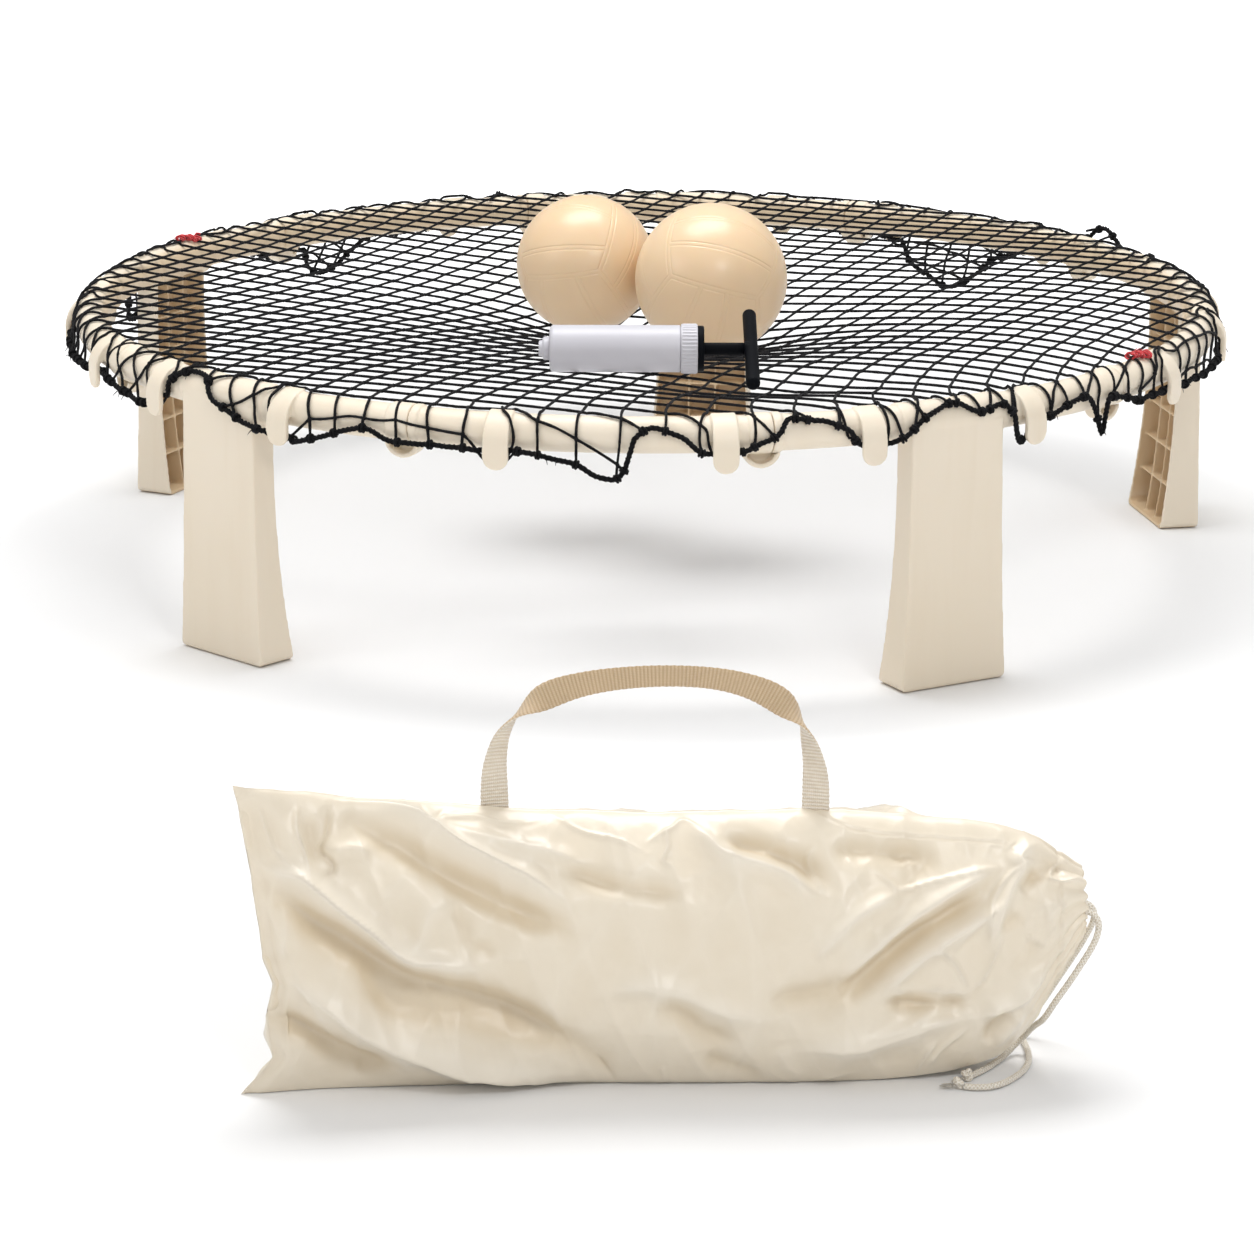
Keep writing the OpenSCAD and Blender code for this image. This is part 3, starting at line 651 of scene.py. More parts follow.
def strings():
    parts = {}
    for name, pts, rounds in (("bag_drawstring_front", STRING_A, 110), ("bag_drawstring_back", STRING_B, 200)):
        P = catmull(pts, 2)
        P = catmull(P, 3)
        P, V, F, uv = braided(eased(P, rounds), 1.8)
        o = make(name + "_braid", V, F, M_STRING, "bag", [name], uv)
        parts[name] = (o, P, length_of(P))
    k = Parts()
    for at, turn in (((169.6, -775.4, 3.5), 0.6), ((163.9, -786.8, 3.5), 2.1)):
        k.add(*knot(at, 3.5, 1.45, turn=turn))
    # fluffed tails beyond the knots
    rng = np.random.default_rng(11)
    for at, d in (((166.6, -778, 2.2), (-0.8, -0.5)), ((160.3, -787, 2.2), (-1, 0.05))):
        for i in range(16):
            dd = np.array([d[0], d[1], 0]) + rng.normal(0, 0.28, 3) * (1, 1, 0.35)
            q = np.array(at) + rng.normal(0, 0.5, 3) * (1, 1, 0.5)
            l = rng.uniform(3.5, 6.5)
            pts = np.array([q + unit(dd) * l * s + np.array([0, 0, -0.12 * l * s * s]) for s in (0, 0.35, 0.7, 1)])
            pts[:, 2] = np.maximum(pts[:, 2], 0.35)
            k.add(*sweep(pts, transport(pts), np.array([0.4, 0.36, 0.3, 0.15]), 5))
    knots = k.make("bag_string_knots", M_STRING, "bag", "bag_string", ["bag_drawstring_knots"])
    for name, exit_ in (("bag_drawstring_front", (0.2312, -0.759, 0.092)), ("bag_drawstring_back", (0.2312, -0.745, 0.092))):
        o, P, L = parts[name]
    return {k2: v[2] for k2, v in parts.items()}


STRING_LENGTHS = strings()

# ---------------------------------------------------------------- ring pieces

def moulded(source, turn, voxel=0.9, smooth=5, keep=0.32):
    """The CAD piece as one soft-edged moulding: remeshed finely, its edges eased, and thinned where it is flat."""
    src = NODES[source]
    co = np.zeros(len(src.data.vertices) * 3)
    src.data.vertices.foreach_get("co", co)
    me = src.data.copy()
    me.materials.clear()
    me.transform(Matrix.Translation((0, RING_Y * MM, 0)) @ Matrix.Rotation(-math.radians(turn), 4, "Z") @ Matrix.Translation((0, -RING_Y * MM, 0)))
    o = bpy.data.objects.new("tmp", me)
    scene.collection.objects.link(o)
    w = o.modifiers.new("weld", "WELD")
    w.merge_threshold = 1e-6
    r = o.modifiers.new("remesh", "REMESH")
    r.mode = "VOXEL"
    r.voxel_size = voxel * MM
    s = o.modifiers.new("smooth", "SMOOTH")
    s.factor = 0.5
    s.iterations = smooth
    d = o.modifiers.new("thin", "DECIMATE")
    d.ratio = keep
    dg = bpy.context.evaluated_depsgraph_get()
    out = bpy.data.meshes.new_from_object(o.evaluated_get(dg))
    bpy.data.objects.remove(o)
    bpy.data.meshes.remove(me)
    out.polygons.foreach_set("use_smooth", np.ones(len(out.polygons), bool))
    return out


def ring_pieces():
    legs = ["leg_front_left", "leg_front_right", "leg_right", "leg_back", "leg_left"]
    rims = ["rim_front", "rim_front_right", "rim_back_right", "rim_back_left", "rim_front_left"]
    for names, label in ((legs, "leg_moulding"), (rims, "rim_moulding")):
        me = moulded(names[0], LEG_AT[0])
        me.materials.clear()
        me.materials.append(M_FRAME)
        co = np.zeros(len(me.vertices) * 3)
        me.vertices.foreach_get("co", co)
        co = co.reshape(-1, 3) / MM - np.array([0, RING_Y, 0])
        # painted shade mask: 1 on the hollow backs of the legs, 0.75 on the tube's inner side, where the frame material
        # puts a deeper tan in place of shade
        low = np.clip(1 - co[:, 2] / 192.3, 0, 1)
        back = smoothstep(1.2, 2.0, co[:, 1] + 454 + 3 * low) * smoothstep(1.5, 2.4, 38.5 + 5.5 * low ** 2.2 - np.abs(co[:, 0]))
        back = back * (1 - smoothstep(174, 182, co[:, 2])) * (1 - smoothstep(-0.3, 0.3, co[:, 1] + 453.2 - 20 - 13 * np.clip(1 - co[:, 2] / 150, 0, 1) ** 2))
        side = 0.75 * smoothstep(3, 12, RING_R - np.hypot(co[:, 0], co[:, 1])) * smoothstep(174, 182, co[:, 2])
        at = me.attributes.new("inner", "FLOAT", "POINT")
        at.data.foreach_set("value", np.maximum(back, side).astype(np.float32))
        for i, n in enumerate(names):
            own = me.copy()
            own.name = n + "_" + label
            own.transform(Matrix.Translation((0, RING_Y * MM, 0)) @ Matrix.Rotation(math.radians(LEG_AT[i]), 4, "Z")
                          @ Matrix.Translation((0, -RING_Y * MM, 0)))
            own.update()
            o = bpy.data.objects.new(n + "_moulding", own)
            scene.collection.objects.link(o)
            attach(o, "root")
            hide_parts(n)
        bpy.data.meshes.remove(me)


ring_pieces()

# ---------------------------------------------------------------- net

NET_IN = 434.0
BALL_L = (np.array([-48.5, RING_Y + 24, 223.6]), 55.4)
BALL_R = (np.array([51.2, RING_Y - 44, 224.9]), 60.0)
PUMP_AT = np.array([-72.3, RING_Y - 253.8, 214.6])
CA = [-0.244, 16.304, 5.591, 0.854, 0.513, 1.418, 0.366, 3.308, -1.442, 0.368, 0.289, -0.64, 1.092, -1.017, 0.326, -0.47, -1.463, 1.207, 0.794, -1.955, 0.765]
CB = [-0.122, -9.021, 16.331, -0.384, 0.119, -0.737, 1.645, -1.682, -1.055, -0.471, -0.481, 0.529, -0.078, -0.342, 0.176, -0.109, -0.105, 1.476, 2.303, 0.121, 0.132]


def poly(c, x, y):
    x, y = x / 400, y / 400
    out, n = 0, 0
    for k in range(6):
        for i in range(k + 1):
            out = out + c[n] * x ** i * y ** (k - i)
            n += 1
    return out


def lattice(X, Y):
    """How far along the two families of cords a point of the flat net is. Whole numbers are cords."""
    r = np.maximum(np.hypot(X, Y), 1e-6)
    k = np.minimum(r, NET_IN) / r
    x, y = X * k, Y * k
    over = np.maximum(r - NET_IN, 0)
    out = []
    for c in (CA, CB):
        u = poly(c, x, y)
        kk = (np.minimum(r, NET_IN) - 8) / r
        du = (u - poly(c, X * kk, Y * kk)) / 8
        out.append(u + du * over)
    return out


def sag(x, y, p, a=28.0):
    s2 = p[0] ** 2 + p[1] ** 2
    q = (p[0] * NET_IN ** 2 / s2, p[1] * NET_IN ** 2 / s2)
    return 0.5 * np.log((s2 / NET_IN ** 2 * ((x - q[0]) ** 2 + (y - q[1]) ** 2) + a * a) / ((x - p[0]) ** 2 + (y - p[1]) ** 2 + a * a))


def net_z(x, y):
    return (207.5 - 9.8 * sag(x, y, (-48.5, 24.0)) - 11.5 * sag(x, y, (51.2, -44.0))
            - 7.0 * np.exp(-((x - 92) / 95) ** 2 - ((y + 304) / 50) ** 2))


# The border rope: angle round the ring, height. Behind a hook it sits low between tab and tube,
# between the hooks it sags in loops or rides up over the tube.
ROPE = [
    (-85.4, 183), (-77, 177), (-68, 182), (-65.3, 184), (-60, 180), (-54.5, 176), (-51.9, 184), (-50.4, 195),
    (-48.5, 206), (-46.5, 209), (-44.8, 207), (-43.3, 193), (-40, 184), (-37, 179), (-35, 177), (-33.5, 175), (-29.4, 184),
    (-25.8, 191), (-22.4, 184), (-18, 184), (-14.8, 183), (-13.4, 183), (-12.2, 184), (-8.8, 181), (-6.2, 175), (-4.4, 168), (-3.1, 166), (-2.2, 172),
    (-1.7, 184), (-1.2, 196), (0.5, 203), (2.7, 196), (4.8, 184), (6.7, 183), (7.9, 184), (10.0, 191), (11.4, 197),
    (12.4, 206), (15.2, 204), (17.6, 197), (19.2, 184), (20.1, 182), (22.5, 187), (25.2, 200), (28.2, 207), (31.2, 200),
    (33.4, 203), (34.5, 194), (35.0, 177), (35.9, 172), (36.6, 178), (37.4, 184), (40, 190), (43.6, 197), (45.2, 184), (45.9, 168), (46.6, 180), (47.2, 192),
    (50, 187), (52.4, 183), (57.4, 183), (58.6, 183), (63.5, 180), (68.7, 179), (74, 178), (78.7, 178), (84, 182), (92.1, 184),
    (97, 180), (102, 184), (106.5, 186), (109, 184), (111.2, 190), (114.3, 197), (117.2, 201), (118.8, 209), (120.3, 214), (121.8, 212), (123.2, 204),
    (125, 193), (128, 186), (130.6, 184), (134, 176), (138.0, 166), (139.2, 156), (141, 145), (143.5, 136), (146.4, 145), (149.3, 160), (150.7, 175), (152.6, 178),
    (155.1, 173), (159, 180), (164.1, 184), (170, 188), (175, 180), (181.0, 184), (186, 190), (190, 193), (194.4, 199),
    (196.5, 206), (198.3, 201), (200.2, 190), (202.6, 184), (207, 179), (212, 178), (215, 166), (216.8, 154), (219, 150), (221.2, 162), (222.7, 174), (224.6, 166),
    (226.4, 172), (229, 179), (232, 182), (236.1, 184), (240, 180), (244, 172), (247.2, 160), (249.6, 149), (251.6, 160), (253.0, 176), (256, 184), (260, 182), (265, 186), (270, 181)]
LOOSE = [(117.6, 123.0), (195.4, 197.4)]       # here the rope stands clear of the tube


def hook_delta(phi):
    """Nearest hook and the signed angle to it, degrees."""
    h = np.array(HOOK_AT)
    d = (np.asarray(phi)[..., None] - h + 180) % 360 - 180
    i = np.abs(d).argmin(-1)
    return h[i], np.take_along_axis(d, i[..., None], -1)[..., 0]


def leg_delta(phi):
    h = np.array(LEG_AT)
    d = (np.asarray(phi)[..., None] - h + 180) % 360 - 180
    i = np.abs(d).argmin(-1)
    return np.take_along_axis(d, i[..., None], -1)[..., 0]


def build_rope_line():
    a = np.array([p[0] for p in ROPE], float)
    z = np.array([p[1] for p in ROPE], float)
    a3 = np.concatenate([a - 360, a, a + 360])
    z3 = np.concatenate([z, z, z])
    # monotone cubic through the stations
    h = np.diff(a3)
    d = np.diff(z3) / h
    m = np.zeros_like(z3)
    same = d[:-1] * d[1:] > 0
    w1, w2 = 2 * h[1:] + h[:-1], h[1:] + 2 * h[:-1]
    m[1:-1][same] = ((w1 + w2) / (w1 / np.where(same, d[:-1], 1) + w2 / np.where(same, d[1:], 1)))[same]
    phi = np.arange(-180, 180, 0.1)
    q = np.where(phi < a[0], phi + 360, phi)
    i = np.clip(np.searchsorted(a3, q) - 1, 0, len(a3) - 2)
    t = (q - a3[i]) / h[i]
    zz = ((2 * t ** 3 - 3 * t ** 2 + 1) * z3[i] + (t ** 3 - 2 * t ** 2 + t) * h[i] * m[i]
          + (-2 * t ** 3 + 3 * t ** 2) * z3[i + 1] + (t ** 3 - t ** 2) * h[i] * m[i + 1])
    _, dh = hook_delta(phi)
    near = 1 - smoothstep(1.25, 2.1, np.abs(dh))
    zz = np.where(near > 0, zz * (1 - near) + np.clip(zz, 174, 186) * near, zz)
    over = 17.3
    dz = np.clip(zz - RING_H, 0, over * 0.985)
    r = RING_R + np.sqrt(over ** 2 - dz ** 2)
    r = r + 1.6 * smoothstep(8, 30, RING_H - zz)
    r = r * (1 - near) + np.minimum(r, RING_R + 14.95) * near
    dl = np.abs(leg_delta(phi))
    flat = (454.4 / np.cos(np.radians(np.minimum(dl, 6))) + 2.7)
    on_leg = (1 - smoothstep(5.5, 6.6, dl)) * (1 - smoothstep(192, 204, zz))
    r = r * (1 - on_leg) + np.maximum(r, flat) * on_leg
    for lo, hi in LOOSE:
        lo2, hi2 = ((lo + 180) % 360 - 180), ((hi + 180) % 360 - 180)
        k = smoothstep(lo2 - 1.2, lo2, phi) * (1 - smoothstep(hi2, hi2 + 1.2, phi))
        r = r * (1 - k) + (RING_R + 17.5) * k
    rng = np.random.default_rng(5)
    wob = np.zeros_like(phi)
    for f in (31, 47, 71, 113):
        wob += np.sin(np.radians(phi) * f + rng.uniform(0, 6.28)) * 0.35
    zz = zz + wob * (1 - near)
    return phi, r, zz


ROPE_PHI, ROPE_R, ROPE_Z = build_rope_line()


def ring_point(phi, r, z):
    p = np.radians(phi)
    return np.stack([r * np.sin(p), RING_Y - r * np.cos(p), np.broadcast_to(z, np.shape(p))], -1)


def rope_at(phi):
    q = (np.asarray(phi, float) + 180) % 360 - 180
    r = np.interp(q, ROPE_PHI, ROPE_R, period=360)
    z = np.interp(q, ROPE_PHI, ROPE_Z, period=360)
    return ring_point(q, r, z)


NET_ROLL = 14.6                                  # cord's middle, from the tube's middle
A0 = math.atan2(13.5, -6.0)                      # where the net meets the tube
L_TOP = NET_ROLL * A0                            # cord length over the tube down to its side


def edge_s(phi):
    """How far past NET_IN the rope is, along the net."""
    q = (np.asarray(phi, float) + 180) % 360 - 180
    z = np.interp(q, ROPE_PHI, ROPE_Z, period=360)
    low = L_TOP + (RING_H - z)
    hi = L_TOP - NET_ROLL * np.arcsin(np.clip((z - RING_H) / 17.3, 0, 0.96))
    return np.where(z < RING_H, low, hi)


EDGE_S = edge_s(ROPE_PHI)


def hook_reach(al):
    """Outer radius of a hook about the tube's middle at angle al (0 outward, 90 up)."""
    c, s = np.cos(al), np.sin(al)
    b = 2 * c + 8.5 * s
    return -b + np.sqrt(np.maximum(b * b - (4 + 72.25 - 23.5 ** 2), 0))


def open_holes(phi, s):
    """Cords part round each hook: the flat net opens a hole where the tab pokes through."""
    h, dd = hook_delta(phi)
    dx = np.radians(dd) * 456.0
    sc, ax, ay, D = 29.5, 11.2, 15.5, 2.3
    qx, qy = dx / ax, (s - sc) / ay
    d = np.hypot(qx, qy)
    k = np.where(d < D, (1 + d * (D - 1) / D) / np.maximum(d, 1e-4), 1.0)
    return h + np.degrees(qx * k * ax / 456.0), sc + qy * k * ay


def drape(phi, s):
    """Point of the net and its outward normal, at angle phi and s mm past NET_IN along the net (negative inside)."""
    phi = np.asarray(phi, float)
    s = np.asarray(s, float)
    rho = NET_IN + np.minimum(s, 0)
    p = np.radians(phi)
    x, y = rho * np.sin(p), -rho * np.cos(p)
    # over the tube
    al = A0 - np.clip(s, 0, L_TOP) / NET_ROLL
    _, dh = hook_delta(phi)
    dist = np.abs(np.radians(dh)) * 456
    ride = (1 - smoothstep(9.2, 12.6, dist)) * smoothstep(math.radians(104), math.radians(92), al) * smoothstep(math.radians(-2), math.radians(14), al)
    roll = NET_ROLL + ride * np.maximum(hook_reach(al) - TUBE, 0)
    dl = np.abs(leg_delta(phi))
    roll = roll + 1.5 * (1 - smoothstep(5.6, 6.2, dl))
    edge = np.interp((phi + 180) % 360 - 180, ROPE_PHI, EDGE_S, period=360)
    down = np.maximum(s - L_TOP, 0)
    flare = 2.6 * smoothstep(0, 26, down)
    rr = RING_R + roll * np.cos(al) + flare
    zt = RING_H + roll * np.sin(al) - down
    flat = 454.3 / np.cos(np.radians(np.minimum(dl, 6))) + 1.5
    on_leg = (1 - smoothstep(5.5, 6.3, dl)) * (1 - smoothstep(188, 196, zt))
    rr = rr * (1 - on_leg) + np.maximum(rr, flat) * on_leg
    out = s > 0
    r = np.where(out, rr, rho)
    z = np.where(out, zt, net_z(x, y))
    P = ring_point(phi, r, z)
    nr = np.where(out, np.cos(al), 0.0)
    nz = np.where(out, np.sin(al), 1.0)
    N = np.stack([nr * np.sin(p), -nr * np.cos(p), nz], -1)
    return P, unit(N)


def keep_clear(P, gap=1.2):
    """Cords give way to the balls and the pump that lie on them."""
    P = P.copy()
    for c, r in (BALL_L, BALL_R):
        v = P - c
        d = np.linalg.norm(v, axis=-1)
        hit = d < r + gap
        P[hit] = (c + v[hit] / d[hit][:, None] * (r + gap))
    x = P[:, 0] - PUMP_AT[0]
    v = P[:, 1:] - PUMP_AT[1:]
    d = np.linalg.norm(v, axis=-1)
    lim = np.where((x > 96) & (x < 110), 18.9, 17.4) + gap
    hit = (x > -1) & (x < 115) & (d < lim)
    if hit.any():
        # straight down to the barrel's underside
        dy = np.clip(v[hit, 0], -lim[hit] * 0.96, lim[hit] * 0.96)
        P[hit, 2] = np.minimum(P[hit, 2], PUMP_AT[2] - np.sqrt(lim[hit] ** 2 - dy ** 2))
    # the leaning handle, wherever its travel takes it
    yc = RING_Y - 253.8
    dx = np.maximum(np.abs(P[:, 0] - 85.5) - 36.5, 0)
    dy = np.clip(yc - P[:, 1], 0, 50.4)
    off = np.hypot(dx, P[:, 1] - (yc - dy))
    reach = 6.5 + gap
    hit = off < reach
    P[hit, 2] = np.minimum(P[hit, 2], 214.6 - 0.264 * dy[hit] - np.sqrt(reach ** 2 - off[hit] ** 2))
    return P


def build_net():
    rng = np.random.default_rng(3)
    # crossings of the two families
    a = np.arange(-34, 35)
    A, B = np.meshgrid(a, a, indexing="ij")
    M = np.array([[CA[2], CA[1]], [CB[2], CB[1]]]) / 400
    Mi = np.linalg.inv(M)
    rhs = np.stack([A - CA[0], B - CB[0]], -1).astype(float)
    XY = rhs @ Mi.T
    for _ in range(40):
        X, Y = XY[..., 0], XY[..., 1]
        u, v = lattice(X, Y)
        e = 0.5
        ux, vx = lattice(X + e, Y)
        uy, vy = lattice(X, Y + e)
        a11, a12, a21, a22 = (ux - u) / e, (uy - u) / e, (vx - v) / e, (vy - v) / e
        det = a11 * a22 - a12 * a21
        det = np.where(np.abs(det) < 1e-7, 1e-7, det)
        fu, fv = A - u, B - v
        dx = np.clip((fu * a22 - fv * a12) / det, -60, 60)
        dy = np.clip((fv * a11 - fu * a21) / det, -60, 60)
        XY = XY + np.stack([dx, dy], -1)
    u, v = lattice(XY[..., 0], XY[..., 1])
    rho = np.hypot(XY[..., 0], XY[..., 1])
    good = (np.hypot(u - A, v - B) < 0.02) & (rho < NET_IN + 130)
    XY = XY + rng.normal(0, 0.55, XY.shape) * good[..., None]
    rho = np.hypot(XY[..., 0], XY[..., 1])
    phi = np.degrees(np.arctan2(XY[..., 0], -XY[..., 1]))
    edge = np.interp((phi + 180) % 360 - 180, ROPE_PHI, EDGE_S, period=360)
    inside = good & (rho - NET_IN < edge - 1.5)
    parts = Parts()
    ends = []
    plain_P, plain_N = [], []
    flat_len = 0.0
    for di, dj in ((1, 0), (0, 1)):
        for i in range(len(a) - 1):
            for j in range(len(a) - 1):
                i2, j2 = i + di, j + dj
                if not (good[i, j] and good[i2, j2]) or not (inside[i, j] or inside[i2, j2]):
                    continue
                p, q = XY[i, j], XY[i2, j2]
                if not inside[i, j]:
                    p, q = q, p
                if np.linalg.norm(p - q) > 60:
                    continue
                both = inside[i, j] and inside[i2, j2]
                mr = max(np.hypot(*p), np.hypot(*q))
                if mr < NET_IN - 6:
                    t = np.linspace(0, 1, 7)
                    L = p + (q - p) * t[:, None]
                    side = unit(np.array([-(q - p)[1], (q - p)[0]])) * rng.normal(0, 0.35)
                    L = L + side * np.sin(np.pi * t)[:, None]
                    r = np.hypot(L[:, 0], L[:, 1])
                    P, N = drape(np.degrees(np.arctan2(L[:, 0], -L[:, 1])), r - NET_IN)
                    plain_P.append(keep_clear(P))
                    plain_N.append(N)
                    flat_len += float(np.linalg.norm(q - p))
                    continue
                t = np.linspace(0, 1, 61)
                L = p + (q - p) * t[:, None]
                side = unit(np.array([-(q - p)[1], (q - p)[0]])) * rng.normal(0, 0.9)
                L = L + side * np.sin(np.pi * t)[:, None]
                r = np.hypot(L[:, 0], L[:, 1])
                ph = np.degrees(np.unwrap(np.arctan2(L[:, 0], -L[:, 1])))
                s = r - NET_IN
                if not both:
                    ed = np.interp((ph + 180) % 360 - 180, ROPE_PHI, EDGE_S, period=360)
                    past = np.nonzero(s > ed)[0]
                    if len(past):
                        k = max(past[0], 2)
                        ph, s = ph[:k], s[:k]
                ph2, s2 = open_holes(ph, s)
                P, N = drape(ph2, s2)
                if not both:
                    w = smoothstep(-14, 0, (np.cumsum(np.r_[0, np.linalg.norm(np.diff(P, axis=0), axis=1)]) - length_of(P)))
                    target = rope_at(ph2[-1:])[0]
                    P = P + w[:, None] * (target - P[-1])
                    ends.append((ph2[-1], target))
                Q = resample(np.concatenate([P, N], 1), 2.6)
                n = len(Q)
                if n < 3:
                    continue
                rad = 1.08 * (1 + 0.06 * rng.normal(0, 1, n))
                parts.add(*sweep(Q[:, :3], unit(Q[:, 3:]), rad, 6))
                flat_len += length_of(P)
    P = np.array(plain_P)
    N = np.array(plain_N)
    for k in range(len(P)):
        rad = 1.05 * (1 + 0.05 * rng.normal(0, 1, P.shape[1]))
        parts.add(*sweep(P[k], N[k], rad, 6))
    # knots
    KV, KF = icosphere(2)
    ii, jj = np.nonzero(inside)
    ph = phi[ii, jj]
    s = rho[ii, jj] - NET_IN
    rim = s > -20
    ph2, s2 = np.where(rim, 0, ph).astype(float), s.copy()
    if rim.any():
        ph2[rim], s2[rim] = open_holes(ph[rim], s[rim])
    ph2 = np.where(rim, ph2, ph)
    C, N = drape(ph2, s2)
    C = keep_clear(C)
    for k in range(len(C)):
        n = N[k]
        t = unit(np.cross(n, [math.sin(k * 1.7), math.cos(k * 1.7), 0.2]))
        b = np.cross(n, t)
        f = 1 + 0.09 * np.sin(KV @ np.array([5.1, 3.3, 4.2]) + k)
        V = (KV * f[:, None] * np.array([1.95, 1.6, 1.35]) * rng.uniform(0.9, 1.12)) @ np.array([t, b, n])
        parts.add(C[k] + V, KF)
    net = parts.make("net_mesh", M_NET, "root", "net_cord", ["net"])
    return net, ends, inside, flat_len


NET, NET_ENDS, NET_IN_MASK, NET_CORD = build_net()


def build_rope():
    rng = np.random.default_rng(9)
    P = ring_point(ROPE_PHI, ROPE_R, ROPE_Z)
    P = resample(np.concatenate([P, P[:1]]), 1.5)[:-1]
    n = len(P)
    T = unit(np.roll(P, -1, 0) - np.roll(P, 1, 0))
    C = np.array([0, RING_Y, RING_H - 20.0])
    N = unit(P - C)
    B = unit(np.cross(T, N))
    N = np.cross(B, T)
    L = np.arange(n) * 1.5
    turns = round(L[-1] / 11.0)
    parts = Parts()
    for k in range(3):
        w = 2 * math.pi * (turns * np.arange(n) / n + k / 3)
        off = 1.05 * (np.cos(w)[:, None] * N + np.sin(w)[:, None] * B)
        rad = 1.18 * (1 + 0.05 * rng.normal(0, 1, n))
        parts.add(*sweep(P + off, np.cos(w)[:, None] * N + np.sin(w)[:, None] * B, rad, 6, closed=True))
    # the net's cords are tied on with small hitches
    ang = np.linspace(0, 2 * math.pi, 14, endpoint=False)
    for ph, at in NET_ENDS:
        i = np.linalg.norm(P - at, axis=1).argmin()
        t, nn, b = T[i], N[i], B[i]
        for m in range(2):
            rr = 2.6 * rng.uniform(0.95, 1.1)
            tilt = rng.uniform(-0.35, 0.35)
            sh = (m - 0.5) * 1.9 + rng.uniform(-0.3, 0.3)
            Q = P[i] + t * sh + rr * (np.cos(ang)[:, None] * nn + np.sin(ang)[:, None] * b) + (np.cos(ang) * tilt * rr)[:, None] * t
            parts.add(*sweep(Q, unit(Q - P[i]), 0.95, 6, closed=True))
    # short frays
    for _ in range(90):
        i = rng.integers(n)
        d = unit(N[i] * rng.uniform(0.2, 1) + B[i] * rng.normal(0, 0.8) + T[i] * rng.normal(0, 0.8))
        l = rng.uniform(3, 6.5)
        q = P[i] + N[i] * 1.6
        Q = np.array([q, q + d * l * 0.4, q + d * l * 0.8 + [0, 0, -0.4], q + d * l + [0, 0, -1.0]])
        parts.add(*sweep(Q, transport(Q), np.array([0.42, 0.36, 0.26, 0.12]), 5))
    return parts.make("net_rope", M_NET, "root", "net_cord", ["net_border_rope"])


build_rope()


def build_ties():
    """Red yarn wound round the net's cords on top of the tube at two places, with its frayed ends."""
    rng = np.random.default_rng(21)
    parts = Parts()
    for a0, span, turns, s0 in ((-117.4, 3.2, 9, 2.0), (55.6, 2.6, 8, 7.0)):
        t = np.linspace(0, turns * 2 * math.pi, turns * 24)
        f = t / t[-1] - 0.5
        phi = a0 + f * span + 0.1 * np.sin(t * 1.37)
        C, Nn = drape(phi, s0 + 3.0 * np.sin(f * 5.0))
        C = C + Nn * 1.6
        T = unit(np.gradient(C, axis=0))
        T = unit(np.array([math.cos(math.radians(a0)), math.sin(math.radians(a0)), 0.0]) + 0 * T)
        side = np.cross(T, Nn)
        rad = 2.5 + 0.4 * np.sin(t * 0.51 + a0) + 0.2 * np.sin(t * 2.3)
        P = C + (0.75 * rad * np.cos(t))[:, None] * Nn + (1.5 * rad * np.sin(t))[:, None] * side
        parts.add(*sweep(P, unit(P - C), 0.85 * (1 + 0.1 * rng.normal(0, 1, len(P))), 7))
        for k in range(9):
            i = rng.integers(len(P))
            d = unit(Nn[i] * rng.uniform(0.1, 0.5) + T[i] * rng.normal(0, 1.0) + side[i] * rng.normal(0, 0.7))
            l = rng.uniform(4, 8)
            g = np.linspace(0, 1, 7)
            Q = P[i] + d * l * g[:, None] + np.array([0, 0, -0.8])[None] * (g ** 2)[:, None]
            parts.add(*sweep(Q, transport(Q), 0.5 - 0.28 * g, 6))
    return parts.make("net_yarn_ties", M_YARN, "root", "marker_yarn", ["net_marker_ties"])


build_ties()

# ---------------------------------------------------------------- balls

def turn_by(v):
    v = Vector(v)
    return np.array(Matrix.Rotation(v.length, 3, v.normalized()))


def cube_sphere(n):
    """A sphere of even square cells, in the frame of its six faces."""
    s = np.tan(np.linspace(-1, 1, n + 1) * math.pi / 4)
    U, W = np.meshgrid(s, s, indexing="ij")
    i, j = np.meshgrid(np.arange(n), np.arange(n), indexing="ij")
    verts, faces, base = [], [], 0
    for f in range(3):
        for sg in (-1, 1):
            q = np.zeros((n + 1, n + 1, 3))
            q[..., f], q[..., (f + 1) % 3], q[..., (f + 2) % 3] = sg, U, W
            verts.append(unit(q.reshape(-1, 3)))
            a = i * (n + 1) + j
            F = np.stack([a, a + n + 1, a + n + 2, a + 1], -1).reshape(-1, 4)
            faces.append((F if sg > 0 else F[:, ::-1]) + base)
            base += (n + 1) ** 2
    V, F = np.concatenate(verts), np.concatenate(faces)
    _, first, back = np.unique(np.round(V * 1e6).astype(np.int64), axis=0, return_index=True, return_inverse=True)
    return V[first], back.reshape(-1)[F]


def valve_way(turn, lean=52.0):
    """Direction of a ball's valve from the ball's middle."""
    t, l = math.radians(turn), math.radians(lean)
    return np.array([math.sin(l) * math.sin(t), -math.sin(l) * math.cos(t), math.cos(l)])


def turned_to(V, way):
    """Points made along x, turned so that x runs along way."""
    a = unit(np.asarray(way, float))
    b = unit(np.cross(a, [0.3, 0.2, 0.9]))
    return V @ np.array([a, b, np.cross(a, b)])


